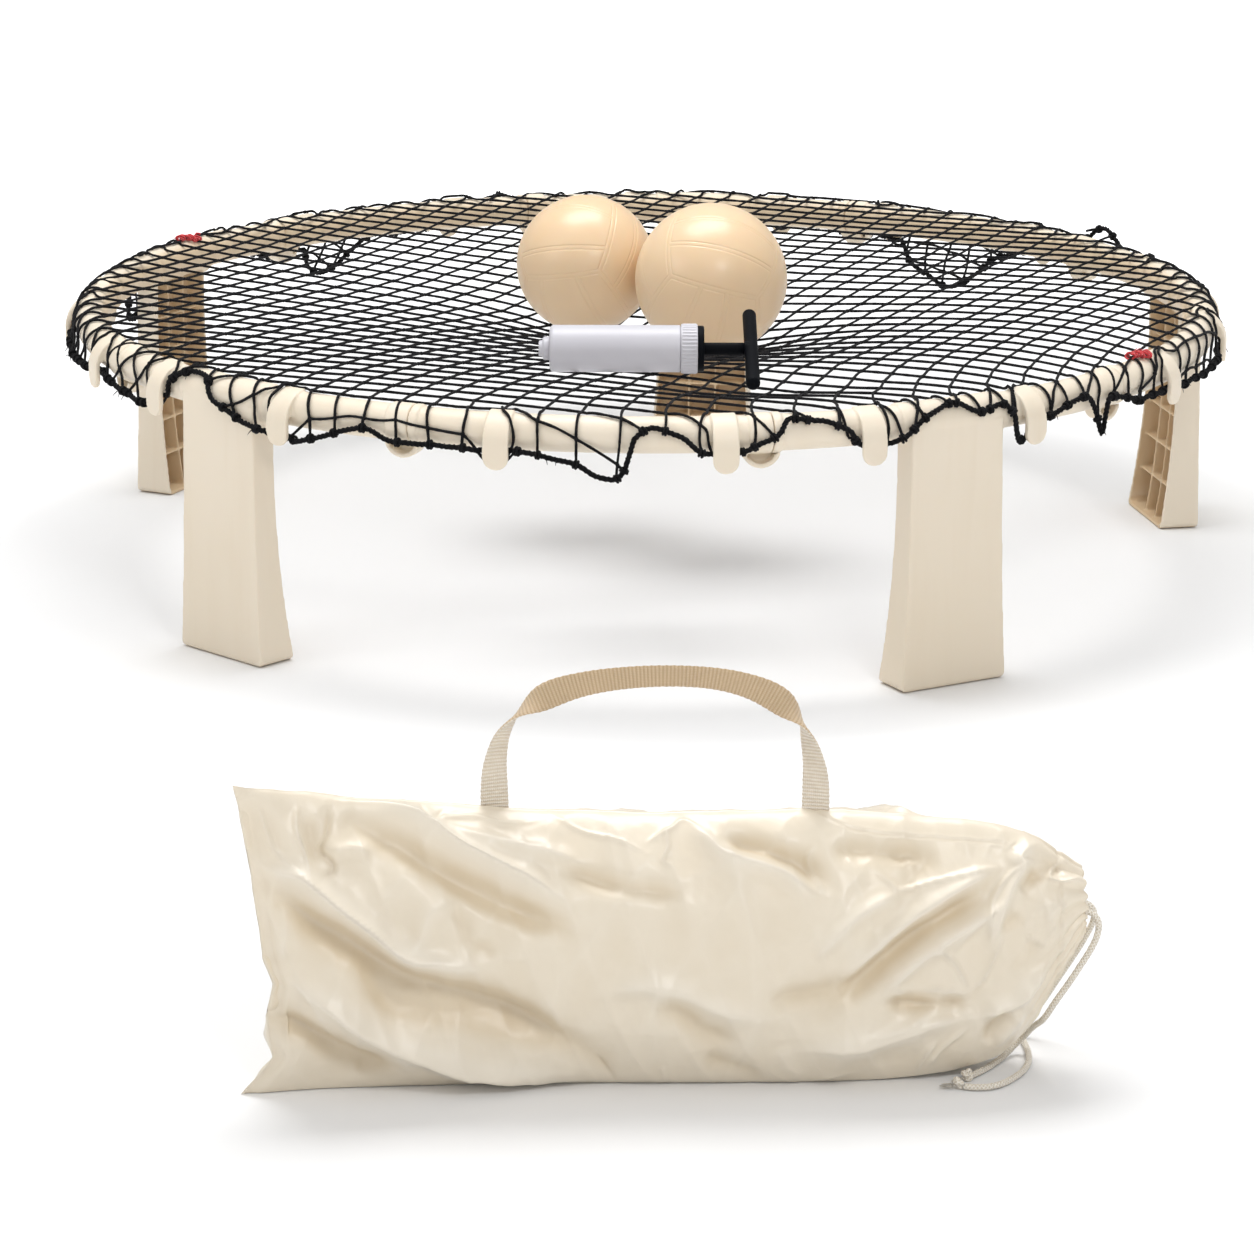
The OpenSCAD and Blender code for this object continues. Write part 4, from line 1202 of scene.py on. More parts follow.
def build_ball(name, at, r, rotvec, c, valve_turn, body):
    """Eighteen panels: each face of a cube is cut in three strips. The seams are shallow moulded channels."""
    Q, F = cube_sphere(196)
    A = np.abs(Q)
    f = A.argmax(1)
    k = np.arange(len(Q))
    w, g, h = A[k, f], A[k, (f + 1) % 3], A[k, (f + 2) % 3]
    edge = np.minimum(w - g, w - h) / math.sqrt(2) * r
    strip = np.abs(g - c * w) / math.sqrt(1 + c * c) * r
    d = np.minimum(edge, strip)
    channel = 0.10 * (1 - smoothstep(1.5, 2.2, d)) + 0.32 * np.exp(-((d - 1.75) / 0.46) ** 2)
    rr = r - channel
    D = Q @ turn_by(rotvec)                      # ball frame to world
    way = valve_way(valve_turn)
    off = np.linalg.norm(D - way, axis=1) * r
    rr = rr - 2.6 * (1 - smoothstep(4.0, 4.5, off)) + 0.35 * np.exp(-((off - 6.0) / 0.9) ** 2)
    make(name + "_shell", at + D * rr[:, None], F, M_BALL, body, [name])
    prof = rounded([(r - 6, 0), (r - 6, 3.5), (r - 0.1, 3.85), (r - 0.1, 0.95), (r - 0.9, 0.75), (r - 5, 0.7), (r - 5.1, 0)],
                   [0, 0.4, 0.5, 0.3, 0.1, 0, 0], 4)
    V, F = lathe(prof, 48)
    make(name + "_valve_plug", at + turned_to(V, way), F, M_BALL, body, [name + "_valve"])


build_ball("ball_left", *BALL_L, (-0.013, -1.072, -2.497), 0.392, 160, "ball_left")
build_ball("ball_right", *BALL_R, (-0.467, 1.254, 0.606), 0.244, 200, "ball_right")

# ---------------------------------------------------------------- pump

def ring_profile(pts, radii, steps=5):
    """A closed profile with rounded corners, for a lathe."""
    p = np.asarray(pts, float)
    mid = (p[-1] + p[0]) / 2
    q = rounded(np.concatenate([[mid], p, [mid]]), [0] + list(radii) + [0], steps)
    return q


def spin(name, pts, radii, segs, mat, body, replaces, radial=None, steps=5):
    V, F = lathe(ring_profile(pts, radii, steps), segs, radial)
    return make(name, V + PUMP_AT, F, mat, body, replaces)


def finely(pts, radii, lo, hi, step):
    """Adds points along the stretch of a profile from lo to hi, which ribs need."""
    out, rad = [], []
    for k, (p, r) in enumerate(zip(pts, radii)):
        out.append(p)
        rad.append(r)
        if k == lo:
            q = pts[hi]
            n = max(2, int(abs(q[0] - p[0]) / step))
            for m in range(1, n):
                out.append((p[0] + (q[0] - p[0]) * m / n, p[1] + (q[1] - p[1]) * m / n))
                rad.append(0)
    return out, rad


def build_pump():
    spin("pump_barrel_tube",
         [(3.4, 5.2), (0, 5.2), (0, 17.4), (96.0, 17.4), (96.4, 16.9), (96.6, 16.9), (96.6, 16.0), (99.2, 16.0), (99.2, 15.0), (3.4, 15.0)],
         [0.2, 0.3, 3.6, 0.3, 0.1, 0.1, 0.1, 0.3, 0.2, 1.0], 160, M_WHITE, "pump", ["pump_barrel"], steps=8)
    spin("pump_nozzle_boss",
         [(5.9, 0.9), (-1, 0.9), (-1, 3.9), (-8, 3.9), (-8, 5.7), (-5.2, 6.2), (-4.7, 8.5), (-0.15, 8.6), (-0.15, 5.1), (3.5, 5.1), (3.5, 8), (5.9, 8)],
         [0.1, 0.1, 0.1, 0.4, 0.9, 0.5, 2.4, 0.2, 0.1, 0.1, 0.2, 0.3], 120, M_WHITE, "pump", ["pump_nozzle"], steps=7)

    n_rib = 40

    def ribs(x, r, a):
        out = np.full(len(a), r)
        if r > 17.9 and 97.8 < x < 108.7:
            fade = float(smoothstep(97.8, 98.4, x) * (1 - smoothstep(108.0, 108.7, x)))
            wave = np.cos(a * n_rib)
            out = out + fade * (0.55 * smoothstep(-0.15, 0.75, wave) - 0.12)
        return out

    pts, rad = finely([(97.0, 16.1), (97.0, 18.1), (108.8, 18.1), (109.2, 17.7), (109.2, 12.05), (99.3, 12.05), (99.3, 16.1)],
                      [0.1, 0.3, 0.0, 0.1, 0.2, 0.1, 0.1], 1, 2, 0.3)
    V, F = lathe(ring_profile(pts, rad, 3), n_rib * 12, ribs)
    make("pump_collar_ribbed", V + PUMP_AT, F, M_WHITE, "pump", ["pump_collar"])
    spin("pump_gland_disc",
         [(96.2, 5.35), (96.2, 14.9), (99.1, 14.9), (99.1, 11.9), (109.25, 11.9), (109.25, 17.0), (114, 17.0), (114, 5.9), (113.2, 5.35)],
         [0.1, 0.3, 0.2, 0.1, 0.1, 0.5, 1.3, 0.3, 0.1], 120, M_BLACK, "pump", ["pump_gland"], steps=6)

    # rod: round with two flats, and a shallow channel along each flat
    a = np.linspace(0, 2 * math.pi, 96, endpoint=False)
    y, z = 4.95 * np.cos(a), 4.95 * np.sin(a)
    flat = 4.2
    zz = np.where(np.abs(z) > flat - 0.35, np.sign(z) * (flat - 0.35 + 0.35 * np.tanh((np.abs(z) - flat + 0.35) / 0.35)), z)
    zz = zz - np.sign(zz) * 0.28 * (1 - smoothstep(1.0, 1.6, np.abs(y))) * (np.abs(z) > 3.6)
    xs = np.array([43.0, 43.25, 43.5, 60, 80, 100, 114, 125, 138, 143.8])
    shrink = np.array([0.93, 0.985, 1, 1, 1, 1, 1, 1, 1, 1])
    V = np.stack([np.broadcast_to(xs[:, None], (len(xs), 96)), shrink[:, None] * y, shrink[:, None] * zz], -1)
    i, k = np.meshgrid(np.arange(len(xs) - 1), np.arange(96), indexing="ij")
    F = np.stack([i * 96 + k, i * 96 + (k + 1) % 96, (i + 1) * 96 + (k + 1) % 96, (i + 1) * 96 + k], -1).reshape(-1, 4)
    make("pump_rod_bar", V.reshape(-1, 3) + PUMP_AT, [F, np.arange(96)[::-1][None], (len(xs) - 1) * 96 + np.arange(96)[None]],
         M_BLACK, "pump_plunger", ["pump_rod"])

    # T handle: bar and boss, grown into one moulding
    bar = rounded([(-57, 0), (-57, 5.15), (0, 5.05), (57, 5.35), (57, 0)], [0, 4.4, 60, 2.6, 0], 9)
    bar = np.concatenate([bar[:1], resample(bar, 0.8)[1:-1], bar[-1:]])
    V1, F1 = lathe(bar[::1], 56)
    lean = math.radians(15)
    way = np.array([0, math.cos(lean), math.sin(lean)])          # the bar's upper end points away and up
    centre = np.array([143.5 + 5.3, 0, 0])
    V1 = turned_to(V1 * np.array([-1, 1, 1]), way)
    F1 = [f[:, ::-1] for f in F1]
    boss = rounded([(143.55, 0), (143.55, 5.7), (148.5, 5.2), (148.5, 0)], [0, 0.6, 0, 0], 4)
    V2, F2 = lathe(boss, 56)
    me = bpy.data.meshes.new("tmp")
    P = Parts()
    P.add(V1 + centre, F1)
    P.add(V2, F2)
    o = P.make("tmp_handle", M_BLACK, None, None)
    rm = o.modifiers.new("remesh", "REMESH")
    rm.mode = "VOXEL"
    rm.voxel_size = 0.42 * MM
    sm = o.modifiers.new("smooth", "SMOOTH")
    sm.factor = 0.5
    sm.iterations = 9
    out = bpy.data.meshes.new_from_object(o.evaluated_get(bpy.context.evaluated_depsgraph_get()))
    bpy.data.objects.remove(o)
    bpy.data.meshes.remove(me)
    out.polygons.foreach_set("use_smooth", np.ones(len(out.polygons), bool))
    out.transform(Matrix.Translation(Vector(PUMP_AT * MM)))
    out.name = "pump_t_handle"
    h = bpy.data.objects.new("pump_t_handle", out)
    scene.collection.objects.link(h)
    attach(h, "pump_plunger")
    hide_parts("pump_handle")
    for node, mat in (("pump_piston", M_BLACK), ("pump_piston_seal", M_SEAL)):
        me = NODES[node].data
        for q in range(max(1, len(me.materials))):
            if len(me.materials):
                me.materials[q] = mat
            else:
                me.materials.append(mat)


build_pump()

# ---------------------------------------------------------------- bag strap and eyelets

STRAP = [
    [-86, 142, 0], [-86.5, 160, 20], [-86, 173, 36], [-83, 186, 52], [-78, 195, 68], [-71, 202.5, 95], [-60, 209.5, 150],
    [-46, 215, 184], [-28, 219, 198], [-6, 221.2, 204], [18, 221.2, 204], [38, 219, 198], [55, 214, 184],
    [68, 206.5, 150], [77, 197.5, 95], [81.5, 187, 60], [85, 173, 38], [86, 160, 20], [86, 142, 0]]


def build_strap():
    """Ribbed webbing: raised weft ribs across the band, thin firm selvedges, a soft twist at each shoulder."""
    S = resample(catmull(STRAP, 12), 0.1)
    S = np.stack([np.interp(np.linspace(0, len(S) - 1, 6000), np.arange(len(S)), S[:, k]) for k in range(3)], -1)
    L = np.concatenate([[0], np.cumsum(np.hypot(np.diff(S[:, 0]), np.diff(S[:, 1])))])
    s = np.arange(0, L[-1], 0.42)
    x, z, turn = (np.interp(s, L, S[:, k]) for k in range(3))
    ker = np.hanning(25)
    ker /= ker.sum()
    turn = np.convolve(np.pad(turn, 12, mode="edge"), ker, "valid")
    P = np.stack([x, np.full(len(s), BAG_Y), z], -1)
    T = unit(np.gradient(P, axis=0))
    side = np.stack([-T[:, 2], np.zeros(len(s)), T[:, 0]], -1)
    tr = np.radians(turn)
    W = np.cos(tr)[:, None] * side + np.sin(tr)[:, None] * np.array([0, -1.0, 0])
    Nn = np.cross(T, W)
    # slow cupping and a slight wave of the band
    wave = 0.5 * np.sin(s / 23.0 + 0.7) + 0.3 * np.sin(s / 11.3)
    c = np.concatenate([np.linspace(-1, 1, 21), np.linspace(1, -1, 21)])
    top = np.concatenate([np.ones(21), -np.ones(21)])
    e = np.clip(1 - np.abs(c) ** 14, 0, 1) ** 0.5
    rib = np.abs(np.sin(math.pi * s / 1.9)) ** 0.8
    cols = 0.06 * np.cos(c * 7.5 * 2 * math.pi / 1.25)
    half = (0.62 + 0.24 * rib)[:, None] * e[None] + cols[None] * e[None]
    half = np.where(np.abs(c)[None] > 0.93, half + 0.1 * e[None], half)
    width = 7.45 + 0.13 * np.sin(2 * math.pi * s / 3.8) + 0.18 * np.sin(s / 17)
    cup = 0.5 * (c ** 2 - 0.4)
    V = P[:, None] + (width[:, None] * c[None])[..., None] * W[:, None] + ((half * top[None]) + cup[None] * 0.6 + wave[:, None] * 0.25)[..., None] * Nn[:, None]
    n, m = V.shape[:2]
    i, k = np.meshgrid(np.arange(n - 1), np.arange(m), indexing="ij")
    F = np.stack([i * m + k, (i + 1) * m + k, (i + 1) * m + (k + 1) % m, i * m + (k + 1) % m], -1).reshape(-1, 4)
    uv = np.stack(np.broadcast_arrays(c[None] * 7.5, s[:, None]), -1)
    # the band's second face is the one that shows along the arch: it gets a tanner weave colour as painted shade, since
    # it faces down, away from the light
    inner = np.broadcast_to(np.arange(m)[None] >= 21, (n - 1, m)).reshape(-1).astype(int)
    make("bag_strap_webbing", V.reshape(-1, 3), [F, np.arange(m)[None], (n - 1) * m + np.arange(m)[::-1][None]],
         [M_WEB, M_WEB_PAINTED_SHADE], "bag", ["bag_handle_strap"], uv.reshape(-1, 2), midx=np.concatenate([inner, [0, 0]]))
    return float(L[-1])


STRAP_LENGTH = build_strap()


def build_eyelets():
    """Two buttonhole eyelets, each a ring of close stitches."""
    parts = Parts()
    for dy in (-7, 7):
        at = np.array([232.0, BAG_Y + dy, 92.0])
        n, sides = 288, 12
        th = np.arange(n) * 2 * math.pi / n
        stitch = np.abs(np.sin(th * 18)) ** 0.7
        a = np.arange(sides) * 2 * math.pi / sides
        r = 0.86 + 0.22 * stitch[:, None] + 0 * a[None]
        rad = 3.9 + 0.12 * np.sin(th * 3 + dy)
        C = np.stack([np.zeros(n), np.cos(th) * rad, np.sin(th) * rad], -1)
        U = np.stack([np.zeros(n), np.cos(th), np.sin(th)], -1)
        V = at + C[:, None] + r[..., None] * (np.cos(a)[None, :, None] * U[:, None] + np.sin(a)[None, :, None] * np.array([1.0, 0, 0]))
        i, k = np.meshgrid(np.arange(n), np.arange(sides), indexing="ij")
        F = np.stack([i * sides + k, i * sides + (k + 1) % sides, ((i + 1) % n) * sides + (k + 1) % sides, ((i + 1) % n) * sides + k], -1)
        uv = np.stack(np.broadcast_arrays(th[:, None] * 3.9, a[None, :]), -1)
        parts.add(V.reshape(-1, 3), F.reshape(-1, 4), uv.reshape(-1, 2))
    parts.make("bag_stitched_eyelets", M_WEB, "bag", "bag_webbing", ["bag_eyelets"])


build_eyelets()

# ---------------------------------------------------------------- bag body

# [x, top height, half thickness, bottom height, shift of the middle in y], as in the part
BAG = np.array([
    [-222, 174, 4, 0, -44], [-214, 171, 9, 0, -39], [-200, 167, 17, 0, -31], [-180, 163, 26, 0, -22],
    [-155, 156, 35, 0, -14], [-120, 153, 42, 0, -7], [-80, 148, 46, 0, -2], [-40, 146, 47, 0, 0],
    [0, 145, 47, 0, 0], [40, 146, 46, 0, 0], [80, 147, 44, 0, 0], [115, 146, 40, 0, 0],
    [145, 143, 36, 2, 0], [170, 141, 31, 6, 0], [190, 137, 27, 14, 0], [205, 132, 24, 30, 0],
    [216, 126, 21, 50, 0], [224, 120, 18, 68, 0], [231, 114, 14, 80, 0]], float)
CAM_C = np.array([-17.4, -2759.98, 836.72])


def to_view(P):
    """Where points (mm) fall in a 1254 x 1254 frame seen from the camera's place: the folds are laid out in it."""
    yaw, pitch, roll = 0.00098, 0.28485, 0.00264
    w = np.array([math.sin(yaw) * math.cos(pitch), math.cos(yaw) * math.cos(pitch), -math.sin(pitch)])
    r = np.array([math.cos(yaw), -math.sin(yaw), 0])
    u = np.cross(r, w)
    r, u = math.cos(roll) * r + math.sin(roll) * u, -math.sin(roll) * r + math.cos(roll) * u
    d = np.asarray(P) - CAM_C
    z = d @ w
    return np.stack([627 + 3949.34 * (d @ r) / z, 627 - 3949.34 * (d @ u) / z], -1)


def smooth_at(xs, table, col):
    """A smooth curve through a column of BAG."""
    t, v = table[:, 0], table[:, col]
    h = np.diff(t)
    d = np.diff(v) / h
    m = np.zeros(len(t))
    m[1:-1] = (d[:-1] * h[1:] + d[1:] * h[:-1]) / (h[1:] + h[:-1])
    m[0], m[-1] = d[0], d[-1]
    i = np.clip(np.searchsorted(t, xs) - 1, 0, len(t) - 2)
    q = (xs - t[i]) / h[i]
    return ((2 * q ** 3 - 3 * q ** 2 + 1) * v[i] + (q ** 3 - 2 * q ** 2 + q) * h[i] * m[i]
            + (-2 * q ** 3 + 3 * q ** 2) * v[i + 1] + (q ** 3 - q ** 2) * h[i] * m[i + 1])


def bag_shell(nx, na):
    """The bag's skin without folds: nx stations along it, na points round each, as (nx, na, 3)."""
    x = np.linspace(-222, 231, nx)
    top, half, low, shift = (smooth_at(x, BAG, c)[:, None] for c in (1, 2, 3, 4))
    low = np.maximum(low, 0)
    half = np.maximum(half - 1.2, 1.0) * (1 - 0.75 * (1 - smoothstep(-222, -210, x[:, None])))
    a = (np.arange(na) / na * 2 * math.pi)[None]
    mid = low + (top - low) * 0.40
    sn, cs = np.sin(a), np.cos(a)
    z_up = mid + (top - mid) * np.abs(sn) ** 0.92
    z_dn = np.maximum(low, mid - (mid - low) * 1.10 * np.abs(sn) ** 0.9)
    z = np.where(sn >= 0, z_up, z_dn)
    f = np.where(sn >= 0, np.abs(cs) ** 1.12, np.abs(cs) ** 0.62)
    y = BAG_Y + shift + half * f * np.sign(-cs)      # a = 0 is the front
    X = np.broadcast_to(x[:, None], z.shape).copy()
    # the sewn end on the left is cut in: it runs in towards the middle below its top corner
    zz = np.array([-5, 0, 8, 21, 33, 45, 63, 77, 108, 127, 150, 163, 176.0])
    xx = np.array([-223, -222, -215, -204.5, -206, -207.5, -203.5, -208.5, -212, -214, -217.5, -219.5, -222.5])
    cut = np.interp(z, zz, xx) + 222
    k = 1 - smoothstep(-222, -165, X)
    X = X + cut * k
    # the mouth is gathered: its front edge leans
    k = smoothstep(185, 231, X)
    X = X - k * 3.0 * smoothstep(95, 125, z) * 1.2
    return np.stack([X, y, z], -1)


# Folds of the bag's front, in the frame of to_view: kind, height (mm), half width (frame units), points.
# A soft fold is a rounded swell or hollow, a crease is a narrow line.
FOLDS = [
    ("soft", 3.2, 11, [(335, 801), (383, 806), (422, 819), (442, 834), (465, 849), (501, 867), (539, 885), (570, 903)]),
    ("soft", -3.8, 15, [(380, 828), (405, 845), (432, 866), (470, 887), (530, 916), (575, 934)]),
    ("soft", -2.6, 13, [(340, 812), (372, 832), (400, 850)]),
    ("crease", 0.9, 2.2, [(335, 801), (383, 806), (422, 819), (442, 834), (465, 849), (501, 867), (539, 885), (559, 898)]),
    ("soft", 4.6, 12, [(262, 868), (297, 875), (322, 891), (342, 908), (373, 931), (404, 956), (442, 964), (480, 968)]),
    ("soft", -5.2, 15, [(270, 889), (304, 919), (342, 943), (383, 971), (411, 986), (475, 1003), (545, 1032), (600, 1062)]),
    ("crease", 0.8, 2.4, [(262, 866), (297, 873), (322, 889), (342, 906), (373, 929), (404, 954), (430, 960)]),
    ("soft", 4.4, 13, [(276, 975), (300, 985), (330, 1004), (372, 1033), (420, 1052), (501, 1072), (600, 1082)]),
    ("soft", -3.6, 11, [(270, 1012), (300, 1030), (345, 1056), (395, 1074)]),
    ("soft", -3.4, 14, [(354, 962), (386, 1003), (430, 1016), (488, 1024), (560, 1050)]),
    ("soft", 2.2, 10, [(279, 905), (288, 930), (283, 962)]),
    ("crease", 0.8, 2.0, [(258, 803), (266, 829), (276, 852), (297, 870), (316, 882)]),
    ("crease", 1.2, 2.4, [(297, 806), (296, 829), (304, 850), (312, 876)]),
    ("crease", -1.2, 3.0, [(332, 803), (327, 834), (321, 850), (334, 868), (316, 880)]),
    ("soft", -2.0, 8, [(308, 815), (312, 842), (318, 866)]),
    ("soft", 1.8, 8, [(330, 852), (350, 848), (372, 852)]),
    ("soft", 2.2, 12, [(404, 956), (421, 940), (427, 918), (446, 898)]),
    ("soft", -1.8, 9, [(444, 905), (460, 922), (470, 944), (500, 955)]),
    ("crease", 0.5, 1.8, [(501, 959), (540, 957), (572, 958)]),
    ("crease", -0.9, 2.6, [(419, 803), (431, 822), (446, 806)]),
    ("crease", 0.8, 2.0, [(431, 820), (455, 817), (478, 816), (508, 824), (539, 820)]),
    ("soft", 1.8, 9, [(444, 824), (475, 836), (513, 846), (560, 856), (600, 872)]),
    ("crease", 0.7, 1.8, [(548, 812), (577, 829), (620, 842), (651, 856)]),
    ("soft", -2.0, 11, [(560, 860), (600, 880), (640, 890), (690, 893)]),
    ("crease", 0.9, 2.0, [(646, 844), (660, 835), (672, 829), (684, 821), (702, 831)]),
    ("crease", 0.9, 2.0, [(664, 828), (668, 845), (663, 860), (676, 868)]),
    ("soft", 2.6, 10, [(684, 824), (706, 838), (728, 857), (779, 871), (809, 890), (828, 897)]),
    ("soft", -3.0, 11, [(716, 838), (753, 845), (791, 858), (812, 872), (826, 888)]),
    ("soft", -2.6, 12, [(828, 848), (860, 850), (893, 852), (925, 860)]),
    ("crease", 0.8, 2.2, [(814, 846), (808, 859), (818, 880), (828, 897)]),
    ("soft", -2.6, 12, [(893, 843), (926, 859), (914, 876), (901, 887)]),
    ("crease", 1.0, 2.4, [(875, 868), (890, 882), (901, 890), (932, 882), (965, 874), (1003, 866)]),
    ("soft", 2.4, 10, [(901, 892), (868, 909), (850, 922), (830, 942), (812, 962)]),
    ("soft", -4.0, 12, [(985, 893), (957, 908), (919, 933), (890, 955), (868, 976), (845, 999), (828, 1014)]),
    ("soft", 3.2, 11, [(1003, 868), (968, 884), (932, 905), (898, 930), (868, 956), (840, 984)]),
    ("soft", 3.0, 10, [(1000, 905), (967, 926), (930, 950), (900, 975), (880, 996)]),
    ("crease", 0.8, 2.0, [(1003, 898), (985, 916), (962, 938), (952, 954)]),
    ("crease", 1.1, 2.2, [(926, 953), (939, 951), (953, 962), (964, 980), (969, 991)]),
    ("crease", 1.1, 2.2, [(969, 991), (982, 980), (994, 958), (1003, 932)]),
    ("crease", 1.2, 2.4, [(881, 998), (912, 989), (945, 991), (972, 994)]),
    ("soft", -3.4, 9, [(884, 1003), (915, 1007), (945, 1009), (974, 1003)]),
    ("crease", 1.2, 2.6, [(976, 1014), (945, 1009), (925, 1014), (900, 1026), (858, 1036)]),
    ("soft", 3.0, 12, [(978, 1016), (940, 1018), (900, 1032), (850, 1044), (800, 1050)]),
    ("soft", -2.8, 12, [(650, 1004), (684, 1017), (702, 1033), (740, 1042)]),
    ("soft", 2.4, 13, [(600, 995), (640, 985), (680, 992), (720, 1010), (770, 1018)]),
    ("soft", -2.4, 12, [(760, 1002), (800, 998), (830, 990), (850, 970)]),
    ("soft", 2.6, 12, [(778, 1046), (789, 1066), (806, 1080)]),
    ("soft", -2.4, 10, [(700, 1060), (740, 1070), (768, 1084)]),
    ("crease", 0.9, 2.4, [(768, 1070), (786, 1080), (804, 1083), (830, 1076), (858, 1072)]),
    ("crease", 0.7, 2.0, [(660, 1066), (664, 1078), (656, 1086)]),
    ("crease", -1.0, 2.6, [(596, 1058), (614, 1078), (634, 1096)]),
    ("soft", 3.0, 9, [(1035, 842), (1019, 858), (1022, 868), (1012, 884), (1000, 908), (991, 938), (995, 952)]),
    ("crease", 1.0, 2.0, [(1030, 862), (1012, 872), (998, 888), (988, 912), (990, 940)]),
    ("soft", -3.8, 8, [(1040, 872), (1026, 884), (1018, 892)]),
    ("soft", -3.2, 7, [(1020, 914), (1008, 922), (1000, 930)]),
    ("soft", -2.6, 8, [(1066, 866), (1044, 872), (1022, 880)]),
    ("crease", 1.2, 2.2, [(1066, 860), (1054, 868), (1050, 878), (1064, 882), (1078, 878)]),
    ("soft", 3.2, 9, [(976, 1015), (1005, 1004), (1022, 992), (1037, 975), (1046, 960)]),
    ("soft", -4.2, 9, [(1012, 1012), (996, 1024), (984, 1044)]),
    ("soft", 2.6, 7, [(1022, 1008), (1008, 1026), (992, 1048)]),
    ("crease", 0.9, 2.2, [(968, 1026), (944, 1046), (928, 1064)]),
    ("crease", 0.9, 2.0, [(936, 1040), (921, 1060), (916, 1076)]),
    ("soft", -2.4, 9, [(1036, 940), (1024, 960), (1006, 974)]),
]
SEAM = [(800, 805), (822, 813), (837, 823), (868, 831), (906, 835), (957, 839), (1005, 843)]
PATCH = np.array([(1048, 898), (1066, 905), (1057, 926), (1044, 948), (1026, 939), (1023, 920), (1034, 906)], float)


def line_distance(Q, pts):
    """Distance from each point to a smooth line, and how far along it, 0 to 1."""
    C = catmull([(*p, 0) for p in pts], 6)[:, :2]
    best = np.full(len(Q), 1e9)
    along = np.zeros(len(Q))
    L = np.concatenate([[0], np.cumsum(np.linalg.norm(np.diff(C, axis=0), axis=1))])
    for i in range(len(C) - 1):
        a, b = C[i], C[i + 1]
        ab = b - a
        t = np.clip(((Q - a) @ ab) / max(ab @ ab, 1e-9), 0, 1)
        d = np.linalg.norm(Q - a - t[:, None] * ab, axis=1)
        near = d < best
        best = np.where(near, d, best)
        along = np.where(near, (L[i] + t * (L[i + 1] - L[i])) / L[-1], along)
    return best, along


def fold_height(Q):
    """Height of the folds at points of the view frame."""
    h = np.zeros(len(Q))
    for kind, amp, w, pts in FOLDS:
        lo = np.min(pts, axis=0) - 3.2 * w
        hi = np.max(pts, axis=0) + 3.2 * w
        m = np.all((Q > lo) & (Q < hi), axis=1)
        if not m.any():
            continue
        d, t = line_distance(Q[m], pts)
        ends = smoothstep(-0.02, 0.22, t) * (1 - smoothstep(0.74, 1.02, t))
        ends = 0.12 + 0.88 * ends
        run = np.linalg.norm(np.diff(np.array(pts, float), axis=0), axis=1).sum()
        if kind == "soft":
            # a ridge is drawn tight to a line, a hollow hangs round
            cusp = np.exp(-(np.sqrt(d ** 2 + 0.8) - 0.9) / (0.62 * w))
            tight = 0.55 if amp > 0 else 0.12
            shape = np.exp(-(d / w) ** 2) * (1 - tight) + cusp * tight
            gain = 2.5 * min(1.0, max(0.2, run / ((9.0 if amp > 0 else 13.0) * w)))
        else:
            shape = 1 / (1 + (d / w) ** 2) ** 1.5
            gain = 2.2
        h[m] += gain * amp * shape * ends
    return h


def in_patch(Q):
    c = PATCH.mean(0)
    P = PATCH
    d = np.full(len(Q), -1e9)
    for i in range(len(P)):
        a, b = P[i], P[(i + 1) % len(P)]
        n = np.array([b[1] - a[1], a[0] - b[0]])
        n = n / np.linalg.norm(n)
        if (c - a) @ n > 0:
            n = -n
        d = np.maximum(d, (Q - a) @ n)
    return 1 - smoothstep(-1.4, 0.6, d)


def crumple(P, seed, scale, n=26):
    """Sharp-crested small wrinkles: folded sines in many directions."""
    rng = np.random.default_rng(seed)
    out = np.zeros(len(P))
    warp = 0.35 * np.sin(P @ rng.normal(0, 1 / (scale * 2.2), 3) + 1)
    for _ in range(n):
        k = rng.normal(0, 1, 3) / (scale * rng.uniform(0.6, 2.2))
        q = np.sin(P @ k * 1.6 + rng.uniform(0, 6.28) + warp * 3)
        out += (1 - np.abs(q)) ** 2.2 * rng.uniform(0.4, 1)
    out /= n
    return (out - out.mean()) / max(out.std(), 1e-9)


def grid_normals(P):
    du = np.gradient(P, axis=0)
    dv = (np.roll(P, -1, 1) - np.roll(P, 1, 1)) / 2
    n = unit(np.cross(du, dv))
    c = P.mean(axis=1, keepdims=True)
    flip = np.sign((n * (P - c)).sum(-1).mean())
    return n * (flip if flip != 0 else 1)


